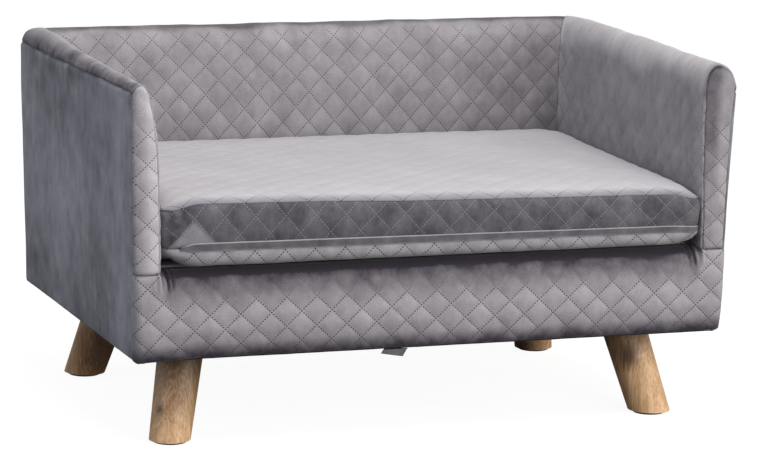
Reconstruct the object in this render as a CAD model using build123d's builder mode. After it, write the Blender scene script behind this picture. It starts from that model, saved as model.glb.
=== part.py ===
from build123d import *
import math
import os

# Dog sofa bed: a low timber frame padded with foam, upholstered in quilted velvet,
# standing on four splayed pine legs, with a loose seat cushion.
# Millimetres. X runs to the right, Y to the rear, Z up from the floor.
# The origin is on the floor under the middle of the sofa.

# Overall sizes
sofa_width = 700
sofa_depth = 483
sofa_height = 415
leg_height = 104
side_lean = 8.5
base_seam_rise = 99
deck_rise = 104.5
arm_thickness = 27
back_thickness = 47

# Rolled tops of the arms and the back
side_roll_width = 17
side_roll_height = 27
rear_roll_width = 19
rear_roll_height = 30
inner_roll_height = 40
roll_seam_drop = 17
front_round = 7
band_inset = 9.5
roll_low_share = 0.45
roll_top_share = 0.33
arc_fill_share = 0.98

# Cloth, foam and clearances
cover = 2.5
foam_gap = 0.3
dust_cloth = 0.8
cloth_clearance = 0.2
front_roll = 14
front_tuck = 26
deck_cloth = 2.2
deck_wadding_thickness = 6.7
dust_hem = 4
overrun = 60

# Timber frame
panel_board = 12
rail_board = 15
deck_board_thickness = 9
front_padding = 18.8
panel_top_drop = 30
batten_width = 34
batten_height = 45
block_height = 26
block_width = 106
block_depth = 104
block_corner_cut = 34

# Legs and their fixings
leg_top_diameter = 52
leg_foot_diameter = 46.5
leg_top_side_margin = 81.3
leg_top_end_margin = 97.3
leg_foot_side_margin = 57.5
leg_foot_end_margin = 61.1
leg_overcut = 20
glide_height = 3
glide_margin = 4
glide_edge = 1
bolt_diameter = 8
bolt_in_leg = 34
bolt_above_block = 5
bolt_tip = 4
bolt_clearance = 0.15
bolt_waist = 6.6
bolt_waist_length = 3
nut_barrel_diameter = 10
nut_barrel_length = 14
nut_flange_diameter = 23
nut_flange_thickness = 1.6
nut_prong_radius = 9.5
nut_prong_length = 6
nut_prong_width = 3
nut_prongs = 4

# Screws that hold the panels and the deck board to the rails
screw_diameter = 4
screw_head_diameter = 8
screw_head_height = 2.4
screw_length = 40
screw_tip = 5
screw_point = 1
screw_clearance = 0.1
screw_sink = 0.4
screw_end_margin = 20
deck_screw_margin = 80
deck_screw_columns = 4

# Seat cushion
cushion_side_gap = 3
cushion_rear_gap = 6.5
cushion_lift = 0.3
cushion_height = 61
cushion_crown = 9
cushion_corner = 24
cushion_side_pull = 3
cushion_front_pull = 1.5
lip_bottom_inset = 8
strip_rise = 21
strip_height = 8
strip_inset = 3
strip_proud = 2
strip_left_margin = 21
strip_right_margin = 4
seam_inset = 2
crown_run_share = 0.86
swell_steps = 4
crown_steps = 5

# Zip across the rear of the cushion
zip_end_margin = 70
zip_tape_height = 20
zip_tape_thickness = 0.8
zip_rise = 42
chain_height = 5
chain_thickness = 1.5
stop_length = 4
stop_height = 7
slider_length = 11
slider_height = 9
slider_thickness = 1.4
slider_gap = 0.3
bridge_length = 7
bridge_height = 2.4
bridge_rise = 1.6

# Care tab under the front edge
tab_left = -64
tab_width = 30
tab_drop = 10
tab_slant = 2.5
tab_thickness = 0.6

half_width = sofa_width / 2
half_depth = sofa_depth / 2
form_bottom = leg_height + dust_cloth + cloth_clearance
base_seam = leg_height + base_seam_rise
deck_top = leg_height + deck_rise
half_seat = half_width - arm_thickness
back_face = half_depth - back_thickness
side_apex = half_width + side_lean - side_roll_width
rear_apex = half_depth - rear_roll_width
side_roll_start = sofa_height - side_roll_height
leg_top_x = half_width - leg_top_side_margin
leg_top_y = half_depth - leg_top_end_margin
leg_foot_x = half_width - leg_foot_side_margin
leg_foot_y = half_depth - leg_foot_end_margin
foam_inset = cover + foam_gap
panel_inset = foam_inset + panel_board
panel_top = sofa_height - panel_top_drop
roll_seam = sofa_height - roll_seam_drop
frame_front = -half_depth + foam_inset + front_padding
frame_rear = half_depth - foam_inset
deck_board_top = deck_top - deck_cloth - foam_gap - deck_wadding_thickness
deck_board_bottom = deck_board_top - deck_board_thickness
rail_rear_face = frame_rear - panel_board
sky = sofa_height + overrun
far_x = half_width + overrun
far_y = half_depth + overrun


def side_at(height):
    """Distance from the middle to the leaning outside of the sofa at a height."""
    return half_width + side_lean * (height - leg_height) / (side_roll_start - leg_height)


def save(piece, name):
    piece.part.label = name
    export_step(piece.part, f"parts/{name}.step")
    print(name, len(piece.part.solids()), round(piece.part.volume))


def save_pair(piece, name):
    """Writes a right-hand piece and its mirror image on the left."""
    save(piece, f"right_{name}")
    with BuildPart() as twin:
        mirror(piece.part, about=Plane.YZ)
    save(twin, f"left_{name}")


def roll_edge(foot, roll_start, apex, level_end):
    """A face that rises from its foot and turns over two arcs to a level top."""
    rising = Vector(*roll_start) - Vector(*foot)
    low_run = (apex[1] - roll_start[1]) * roll_low_share
    top_run = (apex[0] - roll_start[0]) * roll_top_share
    low_corner = Vector(*roll_start) + rising.normalized() * low_run
    top_corner = Vector(apex[0] - top_run, apex[1])
    across = top_corner - low_corner
    low_turn = math.radians(rising.get_angle(across))
    top_turn = math.radians(across.get_angle(Vector(top_run, 0)))
    low_radius = arc_fill_share * low_run / math.tan(low_turn / 2)
    top_radius = arc_fill_share * abs(top_run) / math.tan(top_turn / 2)
    with BuildLine() as edge:
        FilletPolyline(foot, low_corner, top_corner, level_end, radius=[low_radius, top_radius])
    return edge.line


def grown(sketch, amount):
    """The sketch with its outline moved outwards, or inwards for a negative amount."""
    with BuildSketch() as face:
        add(sketch)
        if amount:
            offset(amount=amount)
    return face.sketch


def outer_face(inset):
    """The sofa's front outline under its rolled arms, drawn in by inset."""
    foot = (side_at(0), 0)
    roll_start = (half_width + side_lean, side_roll_start)
    with BuildSketch() as face:
        with BuildLine():
            add(roll_edge(foot, roll_start, (side_apex, sofa_height), (0, sofa_height)))
            Polyline((0, sofa_height), (0, 0), foot)
        make_face()
        mirror(about=Plane.YZ)
    return grown(face.sketch, -inset)


def hollow_face(inset):
    """The opening between the arms, which widens over their rolled tops."""
    foot = (half_seat, 0)
    roll_start = (half_seat, sofa_height - inner_roll_height)
    apex = (side_apex, sofa_height)
    with BuildSketch() as face:
        with BuildLine():
            add(roll_edge(foot, roll_start, apex, apex))
            Polyline(apex, (side_apex, sky), (0, sky), (0, 0), foot)
        make_face()
        mirror(about=Plane.YZ)
    return grown(face.sketch, inset)


def side_face(inset):
    """The sofa seen from its right side, with the rolled rear edge, drawn in by inset."""
    foot = (half_depth, 0)
    roll_start = (half_depth, sofa_height - rear_roll_height)
    front_top = (-half_depth, sofa_height)
    with BuildSketch() as face:
        with BuildLine():
            add(roll_edge(foot, roll_start, (rear_apex, sofa_height), front_top))
            Polyline(front_top, (-half_depth, 0), foot)
        make_face()
    return grown(face.sketch, -inset)


def seat_face(inset):
    """The seat opening seen from the right side, which widens over the back's top."""
    foot = (back_face, 0)
    roll_start = (back_face, sofa_height - inner_roll_height)
    apex = (rear_apex, sofa_height)
    with BuildSketch() as face:
        with BuildLine():
            add(roll_edge(foot, roll_start, apex, apex))
            Polyline(apex, (rear_apex, sky), (-far_y, sky), (-far_y, 0), foot)
        make_face()
    return grown(face.sketch, inset)


def across_depth(face):
    """A front outline made solid from the rear plane to the front plane."""
    with BuildPart() as block:
        with BuildSketch(Plane.XZ.offset(-half_depth)):
            add(face)
        extrude(amount=sofa_depth)
    return block.part


def across_width(face):
    """A side outline made solid past both sides of the sofa."""
    with BuildPart() as block:
        with BuildSketch(Plane.YZ.offset(-far_x)):
            add(face)
        extrude(amount=far_x + far_x)
    return block.part


def seat_hollow(inset):
    """The room over the seat between the arms and the back, open to the front."""
    with BuildPart() as hollow:
        add(across_depth(hollow_face(inset)))
        add(across_width(seat_face(inset)), mode=Mode.INTERSECT)
    return hollow.part


def wall_form(inset):
    """The U of both arms and the back above the base seam, drawn in by inset."""
    with BuildPart() as form:
        add(across_depth(outer_face(inset)))
        add(across_width(side_face(inset)), mode=Mode.INTERSECT)
        add(seat_hollow(inset), mode=Mode.SUBTRACT)
        split(bisect_by=Plane.XY.offset(base_seam), keep=Keep.TOP)
        arm_fronts = form.faces().filter_by(Plane.XZ).group_by(Axis.Y)[0]
        rims = arm_fronts.edges().filter_by(lambda edge: edge.center().Z > base_seam + cover)
        fillet(rims, radius=front_round - inset)
    return form.part


def base_form(inset):
    """The block of the base below the seam, drawn in by inset on its four sides."""
    front = inset - half_depth
    rear = half_depth - inset
    with BuildPart() as form:
        add(across_depth(outer_face(inset)))
        add(slab(-far_x, far_x, front, rear, form_bottom, base_seam), mode=Mode.INTERSECT)
        front_corners = form.faces().sort_by(Axis.Y)[0].edges().filter_by(
            lambda edge: abs(edge.center().X) > half_seat
        )
        fillet(front_corners, radius=front_round - inset)
    return form.part


def cover_skin():
    """The whole cloth skin of the arms, the back and the base's outside."""
    with BuildPart() as skin:
        add(wall_form(0))
        add(wall_form(cover), mode=Mode.SUBTRACT)
        add(base_form(0))
        add(base_form(cover), mode=Mode.SUBTRACT)
    return skin.part


def slab(x_low, x_high, y_low, y_high, z_low, z_high):
    """A plain block between six planes."""
    with BuildPart() as block:
        with BuildSketch(Plane.XY.offset(z_low)):
            with BuildLine():
                Polyline((x_low, y_low), (x_high, y_low), (x_high, y_high), (x_low, y_high), close=True)
            make_face()
        extrude(amount=z_high - z_low)
    return block.part


def leaning_board(low, high, y_front, y_rear, inset):
    """A board across the sofa whose ends follow the lean of the side panels."""
    with BuildPart() as board:
        with BuildSketch(Plane.XZ.offset(-y_rear)):
            with BuildLine():
                Polyline(
                    (inset - side_at(low), low),
                    (side_at(low) - inset, low),
                    (side_at(high) - inset, high),
                    (inset - side_at(high), high),
                    close=True,
                )
            make_face()
        extrude(amount=y_rear - y_front)
    return board


os.makedirs("parts", exist_ok=True)

corner_seam = back_face - cover
foam_seam = back_face + foam_inset
roll_zone = (leg_height, roll_seam)

# The right arm's quilted front band, sewn into the rounded rim
with BuildPart() as front_band:
    with BuildSketch(Plane.XZ.offset(half_depth - cover)):
        add(outer_face(band_inset))
        add(hollow_face(band_inset), mode=Mode.SUBTRACT)
    extrude(amount=cover)
    split(bisect_by=Plane.XY.offset(base_seam), keep=Keep.TOP)
    split(bisect_by=Plane.YZ, keep=Keep.TOP)

# The cloth skin, cut along its seams
skin = cover_skin()
rear_seam = half_depth - foam_inset

with BuildPart() as outer_cover:
    add(skin)
    add(slab(side_apex, far_x, -far_y, rear_seam, *roll_zone), mode=Mode.INTERSECT)
    add(front_band.part, mode=Mode.SUBTRACT)

with BuildPart() as arm_cover:
    add(skin)
    add(slab(half_seat - cover, far_x, -far_y, corner_seam, base_seam, sky), mode=Mode.INTERSECT)
    add(slab(side_apex, far_x, -far_y, far_y, *roll_zone), mode=Mode.SUBTRACT)
    add(front_band.part, mode=Mode.SUBTRACT)

with BuildPart() as back_cover:
    add(skin)
    add(slab(-far_x, far_x, corner_seam, far_y, base_seam, sky), mode=Mode.INTERSECT)
    add(slab(-far_x, far_x, rear_apex, far_y, *roll_zone), mode=Mode.SUBTRACT)
    add(slab(side_apex, far_x, -far_y, far_y, *roll_zone), mode=Mode.SUBTRACT)
    add(slab(-far_x, -side_apex, -far_y, far_y, *roll_zone), mode=Mode.SUBTRACT)

with BuildPart() as rear_zone:
    add(slab(-far_x, far_x, rear_seam, far_y, *roll_zone))
    add(slab(-side_apex, side_apex, rear_apex, far_y, *roll_zone))

with BuildPart() as rear_cover:
    add(skin)
    add(rear_zone.part, mode=Mode.INTERSECT)


def front_form(inset):
    """The rolled front edge of the deck between the arms, drawn in by inset."""
    tuck_end = front_tuck - half_depth
    with BuildPart() as form:
        with BuildSketch(Plane.YZ.offset(cloth_clearance - half_seat)) as profile:
            with BuildLine():
                Polyline(
                    (inset - half_depth, form_bottom),
                    (tuck_end, form_bottom),
                    (tuck_end, deck_top - inset),
                    (inset - half_depth, deck_top - inset),
                    close=True,
                )
            make_face()
            fillet(profile.vertices().group_by(Axis.Y)[-1].sort_by(Axis.X)[0], radius=front_roll - inset)
        extrude(amount=(half_seat - cloth_clearance) * 2)
    return form.part


# Quilted cloth of the base's front, which rolls back over the deck between the arms
front_plane = -half_depth
with BuildPart() as front_cover:
    add(front_form(0))
    add(front_form(cover), mode=Mode.SUBTRACT)
    add(slab(-side_apex, side_apex, front_plane, front_plane + cover, form_bottom, base_seam))

with BuildPart() as front_foam:
    add(base_form(foam_inset))
    front_reach = (-far_x, far_x, -far_y, frame_front, form_bottom, base_seam - foam_gap)
    add(slab(*front_reach), mode=Mode.INTERSECT)
    between_arms = half_seat - cloth_clearance
    add(slab(-between_arms, between_arms, -far_y, far_y, leg_height, sky), mode=Mode.SUBTRACT)
    add(front_form(foam_inset))
    add(slab(-far_x, far_x, frame_front, far_y, leg_height, deck_board_top), mode=Mode.SUBTRACT)

# Padding and cloth of the deck under the cushion
deck_front = front_tuck - half_depth + cloth_clearance
deck_side = half_seat - cloth_clearance
deck_plan = (-deck_side, deck_side, deck_front, back_face - cloth_clearance)
with BuildPart() as deck_wadding:
    add(slab(*deck_plan, deck_board_top, deck_board_top + deck_wadding_thickness))
with BuildPart() as deck_cover:
    add(slab(*deck_plan, deck_top - deck_cloth, deck_top))


def screw_shape(clearance):
    """A countersunk wood screw with its head up at the origin, grown by a clearance."""
    head = screw_head_diameter / 2 + clearance
    shank = screw_diameter / 2 + clearance
    tip_start = screw_tip - screw_length
    with BuildPart() as screw:
        with BuildSketch(Plane.XZ):
            with BuildLine():
                Polyline(
                    (0, 0),
                    (head, 0),
                    (shank, -screw_head_height),
                    (shank, tip_start),
                    (screw_point, -screw_length),
                    (0, -screw_length),
                    close=True,
                )
            make_face()
        revolve(axis=Axis.Z)
    return screw.part


def panel_screws(clearance):
    """The screws that go through the side panels into the rails and the back panel."""
    front_rail_y = frame_front + rail_board / 2
    rear_rail_y = rail_rear_face - rail_board / 2
    back_panel_y = rail_rear_face + panel_board / 2
    low = form_bottom + screw_end_margin
    high = deck_board_bottom - screw_end_margin
    back_low = deck_board_top + screw_end_margin
    back_high = panel_top - screw_end_margin
    places = [(y, z) for y in (front_rail_y, rear_rail_y) for z in (low, high)]
    places += [(back_panel_y, z) for z in (back_low, back_high)]
    screw = screw_shape(clearance)
    with BuildPart() as group:
        for y, z in places:
            x = side_at(z) - foam_inset - screw_sink
            with Locations(Location((x, y, z), (0, 90, 0)), Location((-x, y, z), (0, -90, 0))):
                add(screw)
    return group


def deck_screw_group(clearance):
    """The screws that hold the deck board down on the rails."""
    front_rail_y = frame_front + rail_board / 2
    rear_rail_y = rail_rear_face - rail_board / 2
    middle = (front_rail_y + rear_rail_y) / 2
    columns = deck_screw_columns
    spacing = (half_width - deck_screw_margin) * 2 / (columns - 1)
    screw = screw_shape(clearance)
    with BuildPart() as group:
        with Locations((0, middle, deck_board_top - screw_sink)):
            with GridLocations(spacing, rear_rail_y - front_rail_y, columns, 2):
                add(screw)
    return group


# Timber frame
screw_holes = panel_screws(screw_clearance).part
deck_holes = deck_screw_group(screw_clearance).part

with BuildPart() as side_panel:
    with BuildSketch(Plane.XZ.offset(-frame_rear)):
        with BuildLine():
            Polyline(
                (side_at(form_bottom) - panel_inset, form_bottom),
                (side_at(form_bottom) - foam_inset, form_bottom),
                (side_at(panel_top) - foam_inset, panel_top),
                (side_at(panel_top) - panel_inset, panel_top),
                close=True,
            )
        make_face()
    extrude(amount=frame_rear - frame_front)
    add(screw_holes, mode=Mode.SUBTRACT)

back_panel = leaning_board(form_bottom, panel_top, rail_rear_face, frame_rear, panel_inset)
rail_top = deck_board_bottom
front_rail = leaning_board(form_bottom, rail_top, frame_front, frame_front + rail_board, panel_inset)
rear_rail_face = rail_rear_face - rail_board
rear_rail = leaning_board(form_bottom, rail_top, rear_rail_face, rail_rear_face, panel_inset)
deck_board = leaning_board(rail_top, deck_board_top, frame_front, rail_rear_face, panel_inset)
for board in (back_panel, front_rail, rear_rail, deck_board):
    with board:
        add(screw_holes, mode=Mode.SUBTRACT)
        add(deck_holes, mode=Mode.SUBTRACT)

with BuildPart() as middle_batten:
    half_batten = batten_width / 2
    rail_inner = frame_front + rail_board
    add(slab(-half_batten, half_batten, rail_inner, rear_rail_face, rail_top - batten_height, rail_top))

# Nuts in the corner blocks and the bolts that the legs turn on to
with BuildPart() as leg_nut:
    block_top = form_bottom + block_height
    barrel = nut_barrel_diameter / 2
    bore = bolt_diameter / 2 + bolt_clearance
    with BuildSketch(Plane.XZ):
        with BuildLine():
            Polyline(
                (bore, block_top - nut_barrel_length),
                (barrel, block_top - nut_barrel_length),
                (barrel, block_top),
                (nut_flange_diameter / 2, block_top),
                (nut_flange_diameter / 2, block_top + nut_flange_thickness),
                (bore, block_top + nut_flange_thickness),
                close=True,
            )
        make_face()
    revolve(axis=Axis.Z)
    with BuildSketch(Plane.XY.offset(block_top)):
        with PolarLocations(nut_prong_radius, nut_prongs):
            Rectangle(nut_flange_thickness, nut_prong_width)
    extrude(amount=-nut_prong_length)

with BuildPart() as leg_bolt:
    thread = bolt_diameter / 2
    waist = bolt_waist / 2
    waist_top = leg_height + bolt_waist_length
    bolt_top = block_top + bolt_above_block
    with BuildSketch(Plane.XZ):
        with BuildLine():
            Polyline(
                (0, leg_height - bolt_in_leg),
                (thread, leg_height - bolt_in_leg + bolt_tip),
                (thread, leg_height - bolt_waist_length),
                (waist, leg_height),
                (thread, waist_top),
                (thread, bolt_top),
                (0, bolt_top),
                close=True,
            )
        make_face()
    revolve(axis=Axis.Z)

leg_tops = Locations(
    (leg_top_x, -leg_top_y),
    (leg_top_x, leg_top_y),
    (-leg_top_x, -leg_top_y),
    (-leg_top_x, leg_top_y),
)
with BuildPart() as leg_nuts:
    with leg_tops:
        add(leg_nut.part)
with BuildPart() as leg_bolts:
    with leg_tops:
        add(leg_bolt.part)


def corner_block(rail_face, inward):
    """A glued block in the right-hand corner at a rail, with its inner corner cut off."""
    outer = side_at(form_bottom) - panel_inset
    inner = outer - block_width
    far = rail_face + inward * block_depth
    with BuildPart() as block:
        with BuildSketch(Plane.XY.offset(form_bottom)):
            with BuildLine():
                Polyline(
                    (outer, rail_face),
                    (outer, far),
                    (inner + block_corner_cut, far),
                    (inner, far - inward * block_corner_cut),
                    (inner, rail_face),
                    close=True,
                )
            make_face()
        extrude(amount=block_height)
        with Locations((leg_top_x, -inward * leg_top_y, form_bottom)):
            Cylinder(
                nut_barrel_diameter / 2 + bolt_clearance,
                block_height,
                align=(Align.CENTER, Align.CENTER, Align.MIN),
                mode=Mode.SUBTRACT,
            )
        add(leg_nuts.part, mode=Mode.SUBTRACT)
    return block


front_block = corner_block(rail_inner, 1)
rear_block = corner_block(rear_rail_face, -1)

# Legs: cones turned on a splayed axis, cut level at both ends
leg_axis = Vector(leg_top_x - leg_foot_x, leg_foot_y - leg_top_y, leg_height)
leg_step = leg_axis.normalized() * leg_overcut
leg_growth = (leg_top_diameter - leg_foot_diameter) / 2 * leg_overcut / leg_axis.length
foot_centre = Vector(leg_foot_x, -leg_foot_y, 0)
top_centre = Vector(leg_top_x, -leg_top_y, leg_height)
with BuildPart() as front_leg:
    with BuildSketch(Plane(origin=foot_centre - leg_step, z_dir=leg_axis)):
        Circle(leg_foot_diameter / 2 - leg_growth)
    with BuildSketch(Plane(origin=top_centre + leg_step, z_dir=leg_axis)):
        Circle(leg_top_diameter / 2 + leg_growth)
    loft()
    split(bisect_by=Plane.XY.offset(glide_height), keep=Keep.TOP)
    split(bisect_by=Plane.XY.offset(leg_height), keep=Keep.BOTTOM)
    with Locations((leg_top_x, -leg_top_y, leg_height)):
        Hole(bolt_diameter / 2 + bolt_clearance, bolt_in_leg + bolt_clearance)
with BuildPart() as rear_leg:
    mirror(front_leg.part, about=Plane.XZ)

glide_centre = foot_centre + leg_axis * (glide_height / leg_height)
with BuildPart() as front_glide:
    with BuildSketch(Plane.XY):
        with Locations((glide_centre.X, glide_centre.Y)):
            Circle(leg_foot_diameter / 2 - glide_margin)
    extrude(amount=glide_height)
    chamfer(front_glide.edges().group_by(Axis.Z)[0], length=glide_edge)
with BuildPart() as rear_glide:
    mirror(front_glide.part, about=Plane.XZ)

# Black dust cloth stapled under the frame, with holes for the leg bolts
with BuildPart() as dust_cover:
    dust_x = half_width - dust_hem
    dust_y = half_depth - dust_hem
    add(slab(-dust_x, dust_x, -dust_y, dust_y, leg_height, leg_height + dust_cloth))
    with leg_tops:
        Hole(bolt_diameter / 2 + bolt_clearance)

# Bare care tab sewn under the front edge
with BuildPart() as care_tab:
    tab_right = tab_left + tab_width
    with BuildSketch(Plane.XZ.offset(half_depth - cover)):
        with BuildLine():
            Polyline(
                (tab_left, form_bottom),
                (tab_left + tab_slant, leg_height - tab_drop - tab_slant),
                (tab_right + tab_slant, leg_height - tab_drop),
                (tab_right, form_bottom),
                close=True,
            )
        make_face()
    extrude(amount=-tab_thickness)

# Foam of the arms and the back, cut to the wall's form around the panels
foam_form = wall_form(foam_inset)
with BuildPart() as arm_foam:
    add(foam_form)
    add(slab(half_seat, far_x, -far_y, foam_seam, base_seam, sky), mode=Mode.INTERSECT)
    add(side_panel.part, mode=Mode.SUBTRACT)
    add(back_panel.part, mode=Mode.SUBTRACT)
    add(screw_holes, mode=Mode.SUBTRACT)
with BuildPart() as back_foam:
    add(foam_form)
    add(slab(-far_x, far_x, foam_seam, far_y, base_seam, sky), mode=Mode.INTERSECT)
    add(back_panel.part, mode=Mode.SUBTRACT)
    add(side_panel.part, mode=Mode.SUBTRACT)
    add(mirror(side_panel.part, about=Plane.YZ, mode=Mode.PRIVATE), mode=Mode.SUBTRACT)
    add(screw_holes, mode=Mode.SUBTRACT)

# Seat cushion
cushion_bottom = deck_top + cushion_lift
cushion_half_width = half_seat - cushion_side_gap
cushion_rear = back_face - cushion_rear_gap
cushion_seam = cushion_bottom + cushion_height
crown_cap_inset = (cushion_rear + half_depth) / 2 * crown_run_share
strip_middle = cushion_bottom + strip_rise


def cushion_outline(inset):
    """The cushion in plan, with rounded corners and sides that draw in between them."""
    right = cushion_half_width - inset
    front = inset - half_depth
    rear = cushion_rear - inset
    corner = cushion_corner
    bite = corner * (1 - math.sqrt(0.5))
    full_side = cushion_rear + half_depth - corner * 2
    side_pull = cushion_side_pull * (rear - front - corner * 2) / full_side
    front_pull = cushion_front_pull * (right - corner) / (cushion_half_width - corner)
    with BuildLine() as outline:
        ThreePointArc((corner - right, front), (0, front + front_pull), (right - corner, front))
        ThreePointArc((right - corner, front), (right - bite, front + bite), (right, front + corner))
        middle = (front + rear) / 2
        ThreePointArc((right, front + corner), (right - side_pull, middle), (right, rear - corner))
        ThreePointArc((right, rear - corner), (right - bite, rear - bite), (right - corner, rear))
        Line((right - corner, rear), (corner - right, rear))
        ThreePointArc((corner - right, rear), (bite - right, rear - bite), (-right, rear - corner))
        ThreePointArc((-right, rear - corner), (side_pull - right, middle), (-right, front + corner))
        ThreePointArc((-right, front + corner), (bite - right, front + bite), (corner - right, front))
    return outline.line


def swell(low, low_inset, high, high_inset):
    """Heights and insets of a side that swells out between two seams."""
    levels = []
    for step in range(swell_steps + 1):
        share = step / swell_steps
        seam_line = low_inset + (high_inset - low_inset) * share
        levels.append((low + (high - low) * share, seam_line * (1 - math.sin(math.pi * share))))
    return levels


def cushion_form(inset):
    """The cushion's swelling sides and its crown, drawn in by inset."""
    sides = swell(0, lip_bottom_inset, strip_rise, strip_inset)
    sides += swell(strip_rise, strip_inset, cushion_height, seam_inset)[1:]
    crown = []
    for step in range(crown_steps + 1):
        turn = math.radians(90) * step / crown_steps
        drawn_in = seam_inset + (crown_cap_inset - seam_inset) * (1 - math.cos(turn))
        crown.append((cushion_crown * math.sin(turn), drawn_in))
    side_share = (cushion_height - inset) / cushion_height
    crown_share = (cushion_crown - inset) / cushion_crown
    with BuildPart() as form:
        for rise, drawn_in in sides:
            with BuildSketch(Plane.XY.offset(cushion_bottom + inset + rise * side_share)):
                add(cushion_outline(drawn_in + inset))
                make_face()
        loft(ruled=True)
        for rise, drawn_in in crown:
            with BuildSketch(Plane.XY.offset(cushion_seam + rise * crown_share)):
                add(cushion_outline(drawn_in + inset))
                make_face()
        loft(ruled=True)
    return form.part


cushion_outside = cushion_form(0)
with BuildPart() as cushion_skin:
    add(cushion_outside)
    add(cushion_form(cover), mode=Mode.SUBTRACT)

with BuildPart() as cushion_foam:
    add(cushion_form(foam_inset))


def cushion_band(low, high):
    """The part of the cushion's cloth between two seams."""
    with BuildPart() as band:
        add(cushion_skin.part)
        add(slab(-far_x, far_x, -far_y, far_y, low, high), mode=Mode.INTERSECT)
    return band


cushion_bottom_cover = cushion_band(leg_height, strip_middle)
cushion_boxing = cushion_band(strip_middle, cushion_seam)
cushion_top_cover = cushion_band(cushion_seam, sky)

# Flat strip sewn over the lower seam along the front
with BuildPart() as cushion_strip:
    with BuildSketch(Plane.XY.offset(strip_middle - strip_height / 2)):
        add(cushion_outline(strip_inset - strip_proud))
        make_face()
        add(cushion_outline(strip_inset + cover))
        make_face(mode=Mode.SUBTRACT)
    extrude(amount=strip_height)
    strip_left = strip_left_margin - cushion_half_width
    strip_right = cushion_half_width - strip_right_margin - cushion_corner
    strip_rear = front_plane + cushion_corner
    add(slab(strip_left, strip_right, -far_y, strip_rear, leg_height, sky), mode=Mode.INTERSECT)
    add(cushion_outside, mode=Mode.SUBTRACT)

# Zip across the rear of the cushion, closed at its right-hand end
zip_middle = cushion_bottom + zip_rise
half_zip = cushion_half_width - zip_end_margin
tape_face = cushion_rear + zip_tape_thickness
half_chain = chain_height / 2
with BuildPart() as zip_tape:
    tape_low = zip_middle - zip_tape_height / 2
    tape_high = tape_low + zip_tape_height
    add(slab(-half_zip, half_zip, cushion_rear - cover, tape_face, tape_low, tape_high))
    add(cushion_outside, mode=Mode.SUBTRACT)

with BuildPart() as zip_chain:
    chain_face = tape_face + chain_thickness
    chain_low = zip_middle - half_chain
    add(slab(-half_zip, half_zip, tape_face, chain_face, chain_low, chain_low + chain_height))
    for x_low in (-half_zip, half_zip - stop_length):
        half_stop = stop_height / 2
        stop_low = zip_middle - half_stop
        add(slab(x_low, x_low + stop_length, tape_face, chain_face, stop_low, stop_low + stop_height))

with BuildPart() as zip_slider:
    slider_left = half_zip - stop_length - slider_gap - slider_length
    slider_right = slider_left + slider_length
    slider_face = chain_face + slider_gap + slider_thickness
    slider_back = tape_face + slider_gap
    slider_low = zip_middle - slider_height / 2
    slider_high = slider_low + slider_height
    add(slab(slider_left, slider_right, slider_back, slider_face, slider_low, slider_high))
    fillet(zip_slider.edges().filter_by(Axis.Y), radius=slider_thickness)
    channel_face = chain_face + slider_gap
    channel_low = chain_low - slider_gap
    channel_high = chain_low + chain_height + slider_gap
    channel = slab(slider_left, slider_right, tape_face, channel_face, channel_low, channel_high)
    add(channel, mode=Mode.SUBTRACT)
    bridge_left = slider_left + (slider_length - bridge_length) / 2
    bridge_low = zip_middle - bridge_height / 2
    bridge_face = slider_face + bridge_rise
    bridge_right = bridge_left + bridge_length
    bridge_high = bridge_low + bridge_height
    add(slab(bridge_left, bridge_right, slider_face, bridge_face, bridge_low, bridge_high))

for piece, name in [
    (front_band, "arm_front_band"),
    (outer_cover, "arm_outer_cover"),
    (arm_cover, "arm_inner_cover"),
    (arm_foam, "arm_foam"),
    (side_panel, "side_panel"),
    (front_block, "front_corner_block"),
    (rear_block, "rear_corner_block"),
    (front_leg, "front_leg"),
    (rear_leg, "rear_leg"),
    (front_glide, "front_glide"),
    (rear_glide, "rear_glide"),
]:
    save_pair(piece, name)

for piece, name in [
    (front_rail, "front_rail"),
    (rear_rail, "rear_rail"),
    (middle_batten, "middle_batten"),
    (deck_board, "deck_board"),
    (back_panel, "back_panel"),
    (panel_screws(0), "panel_screws"),
    (deck_screw_group(0), "deck_screws"),
    (leg_nuts, "leg_nuts"),
    (leg_bolts, "leg_bolts"),
    (front_foam, "front_foam"),
    (back_foam, "back_foam"),
    (deck_wadding, "deck_wadding"),
    (front_cover, "front_cover"),
    (back_cover, "back_inner_cover"),
    (rear_cover, "back_outer_cover"),
    (deck_cover, "deck_cover"),
    (dust_cover, "dust_cover"),
    (care_tab, "care_tab"),
    (cushion_foam, "cushion_foam"),
    (cushion_top_cover, "cushion_top_cover"),
    (cushion_boxing, "cushion_boxing"),
    (cushion_bottom_cover, "cushion_bottom_cover"),
    (cushion_strip, "cushion_front_strip"),
    (zip_tape, "zip_tape"),
    (zip_chain, "zip_chain"),
    (zip_slider, "zip_slider"),
]:
    save(piece, name)
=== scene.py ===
# %% [markdown]
# # A small sofa for a dog, dressed over its CAD frame
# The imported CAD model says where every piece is. This notebook dresses it: quilted
# velvet over foam, a loose crowned cushion and turned pine legs. Lengths are written in
# millimetres and become metres only when a mesh is filled.

import math

import bmesh
import bpy
import numpy as np
from mathutils import Matrix, Vector, noise


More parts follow.
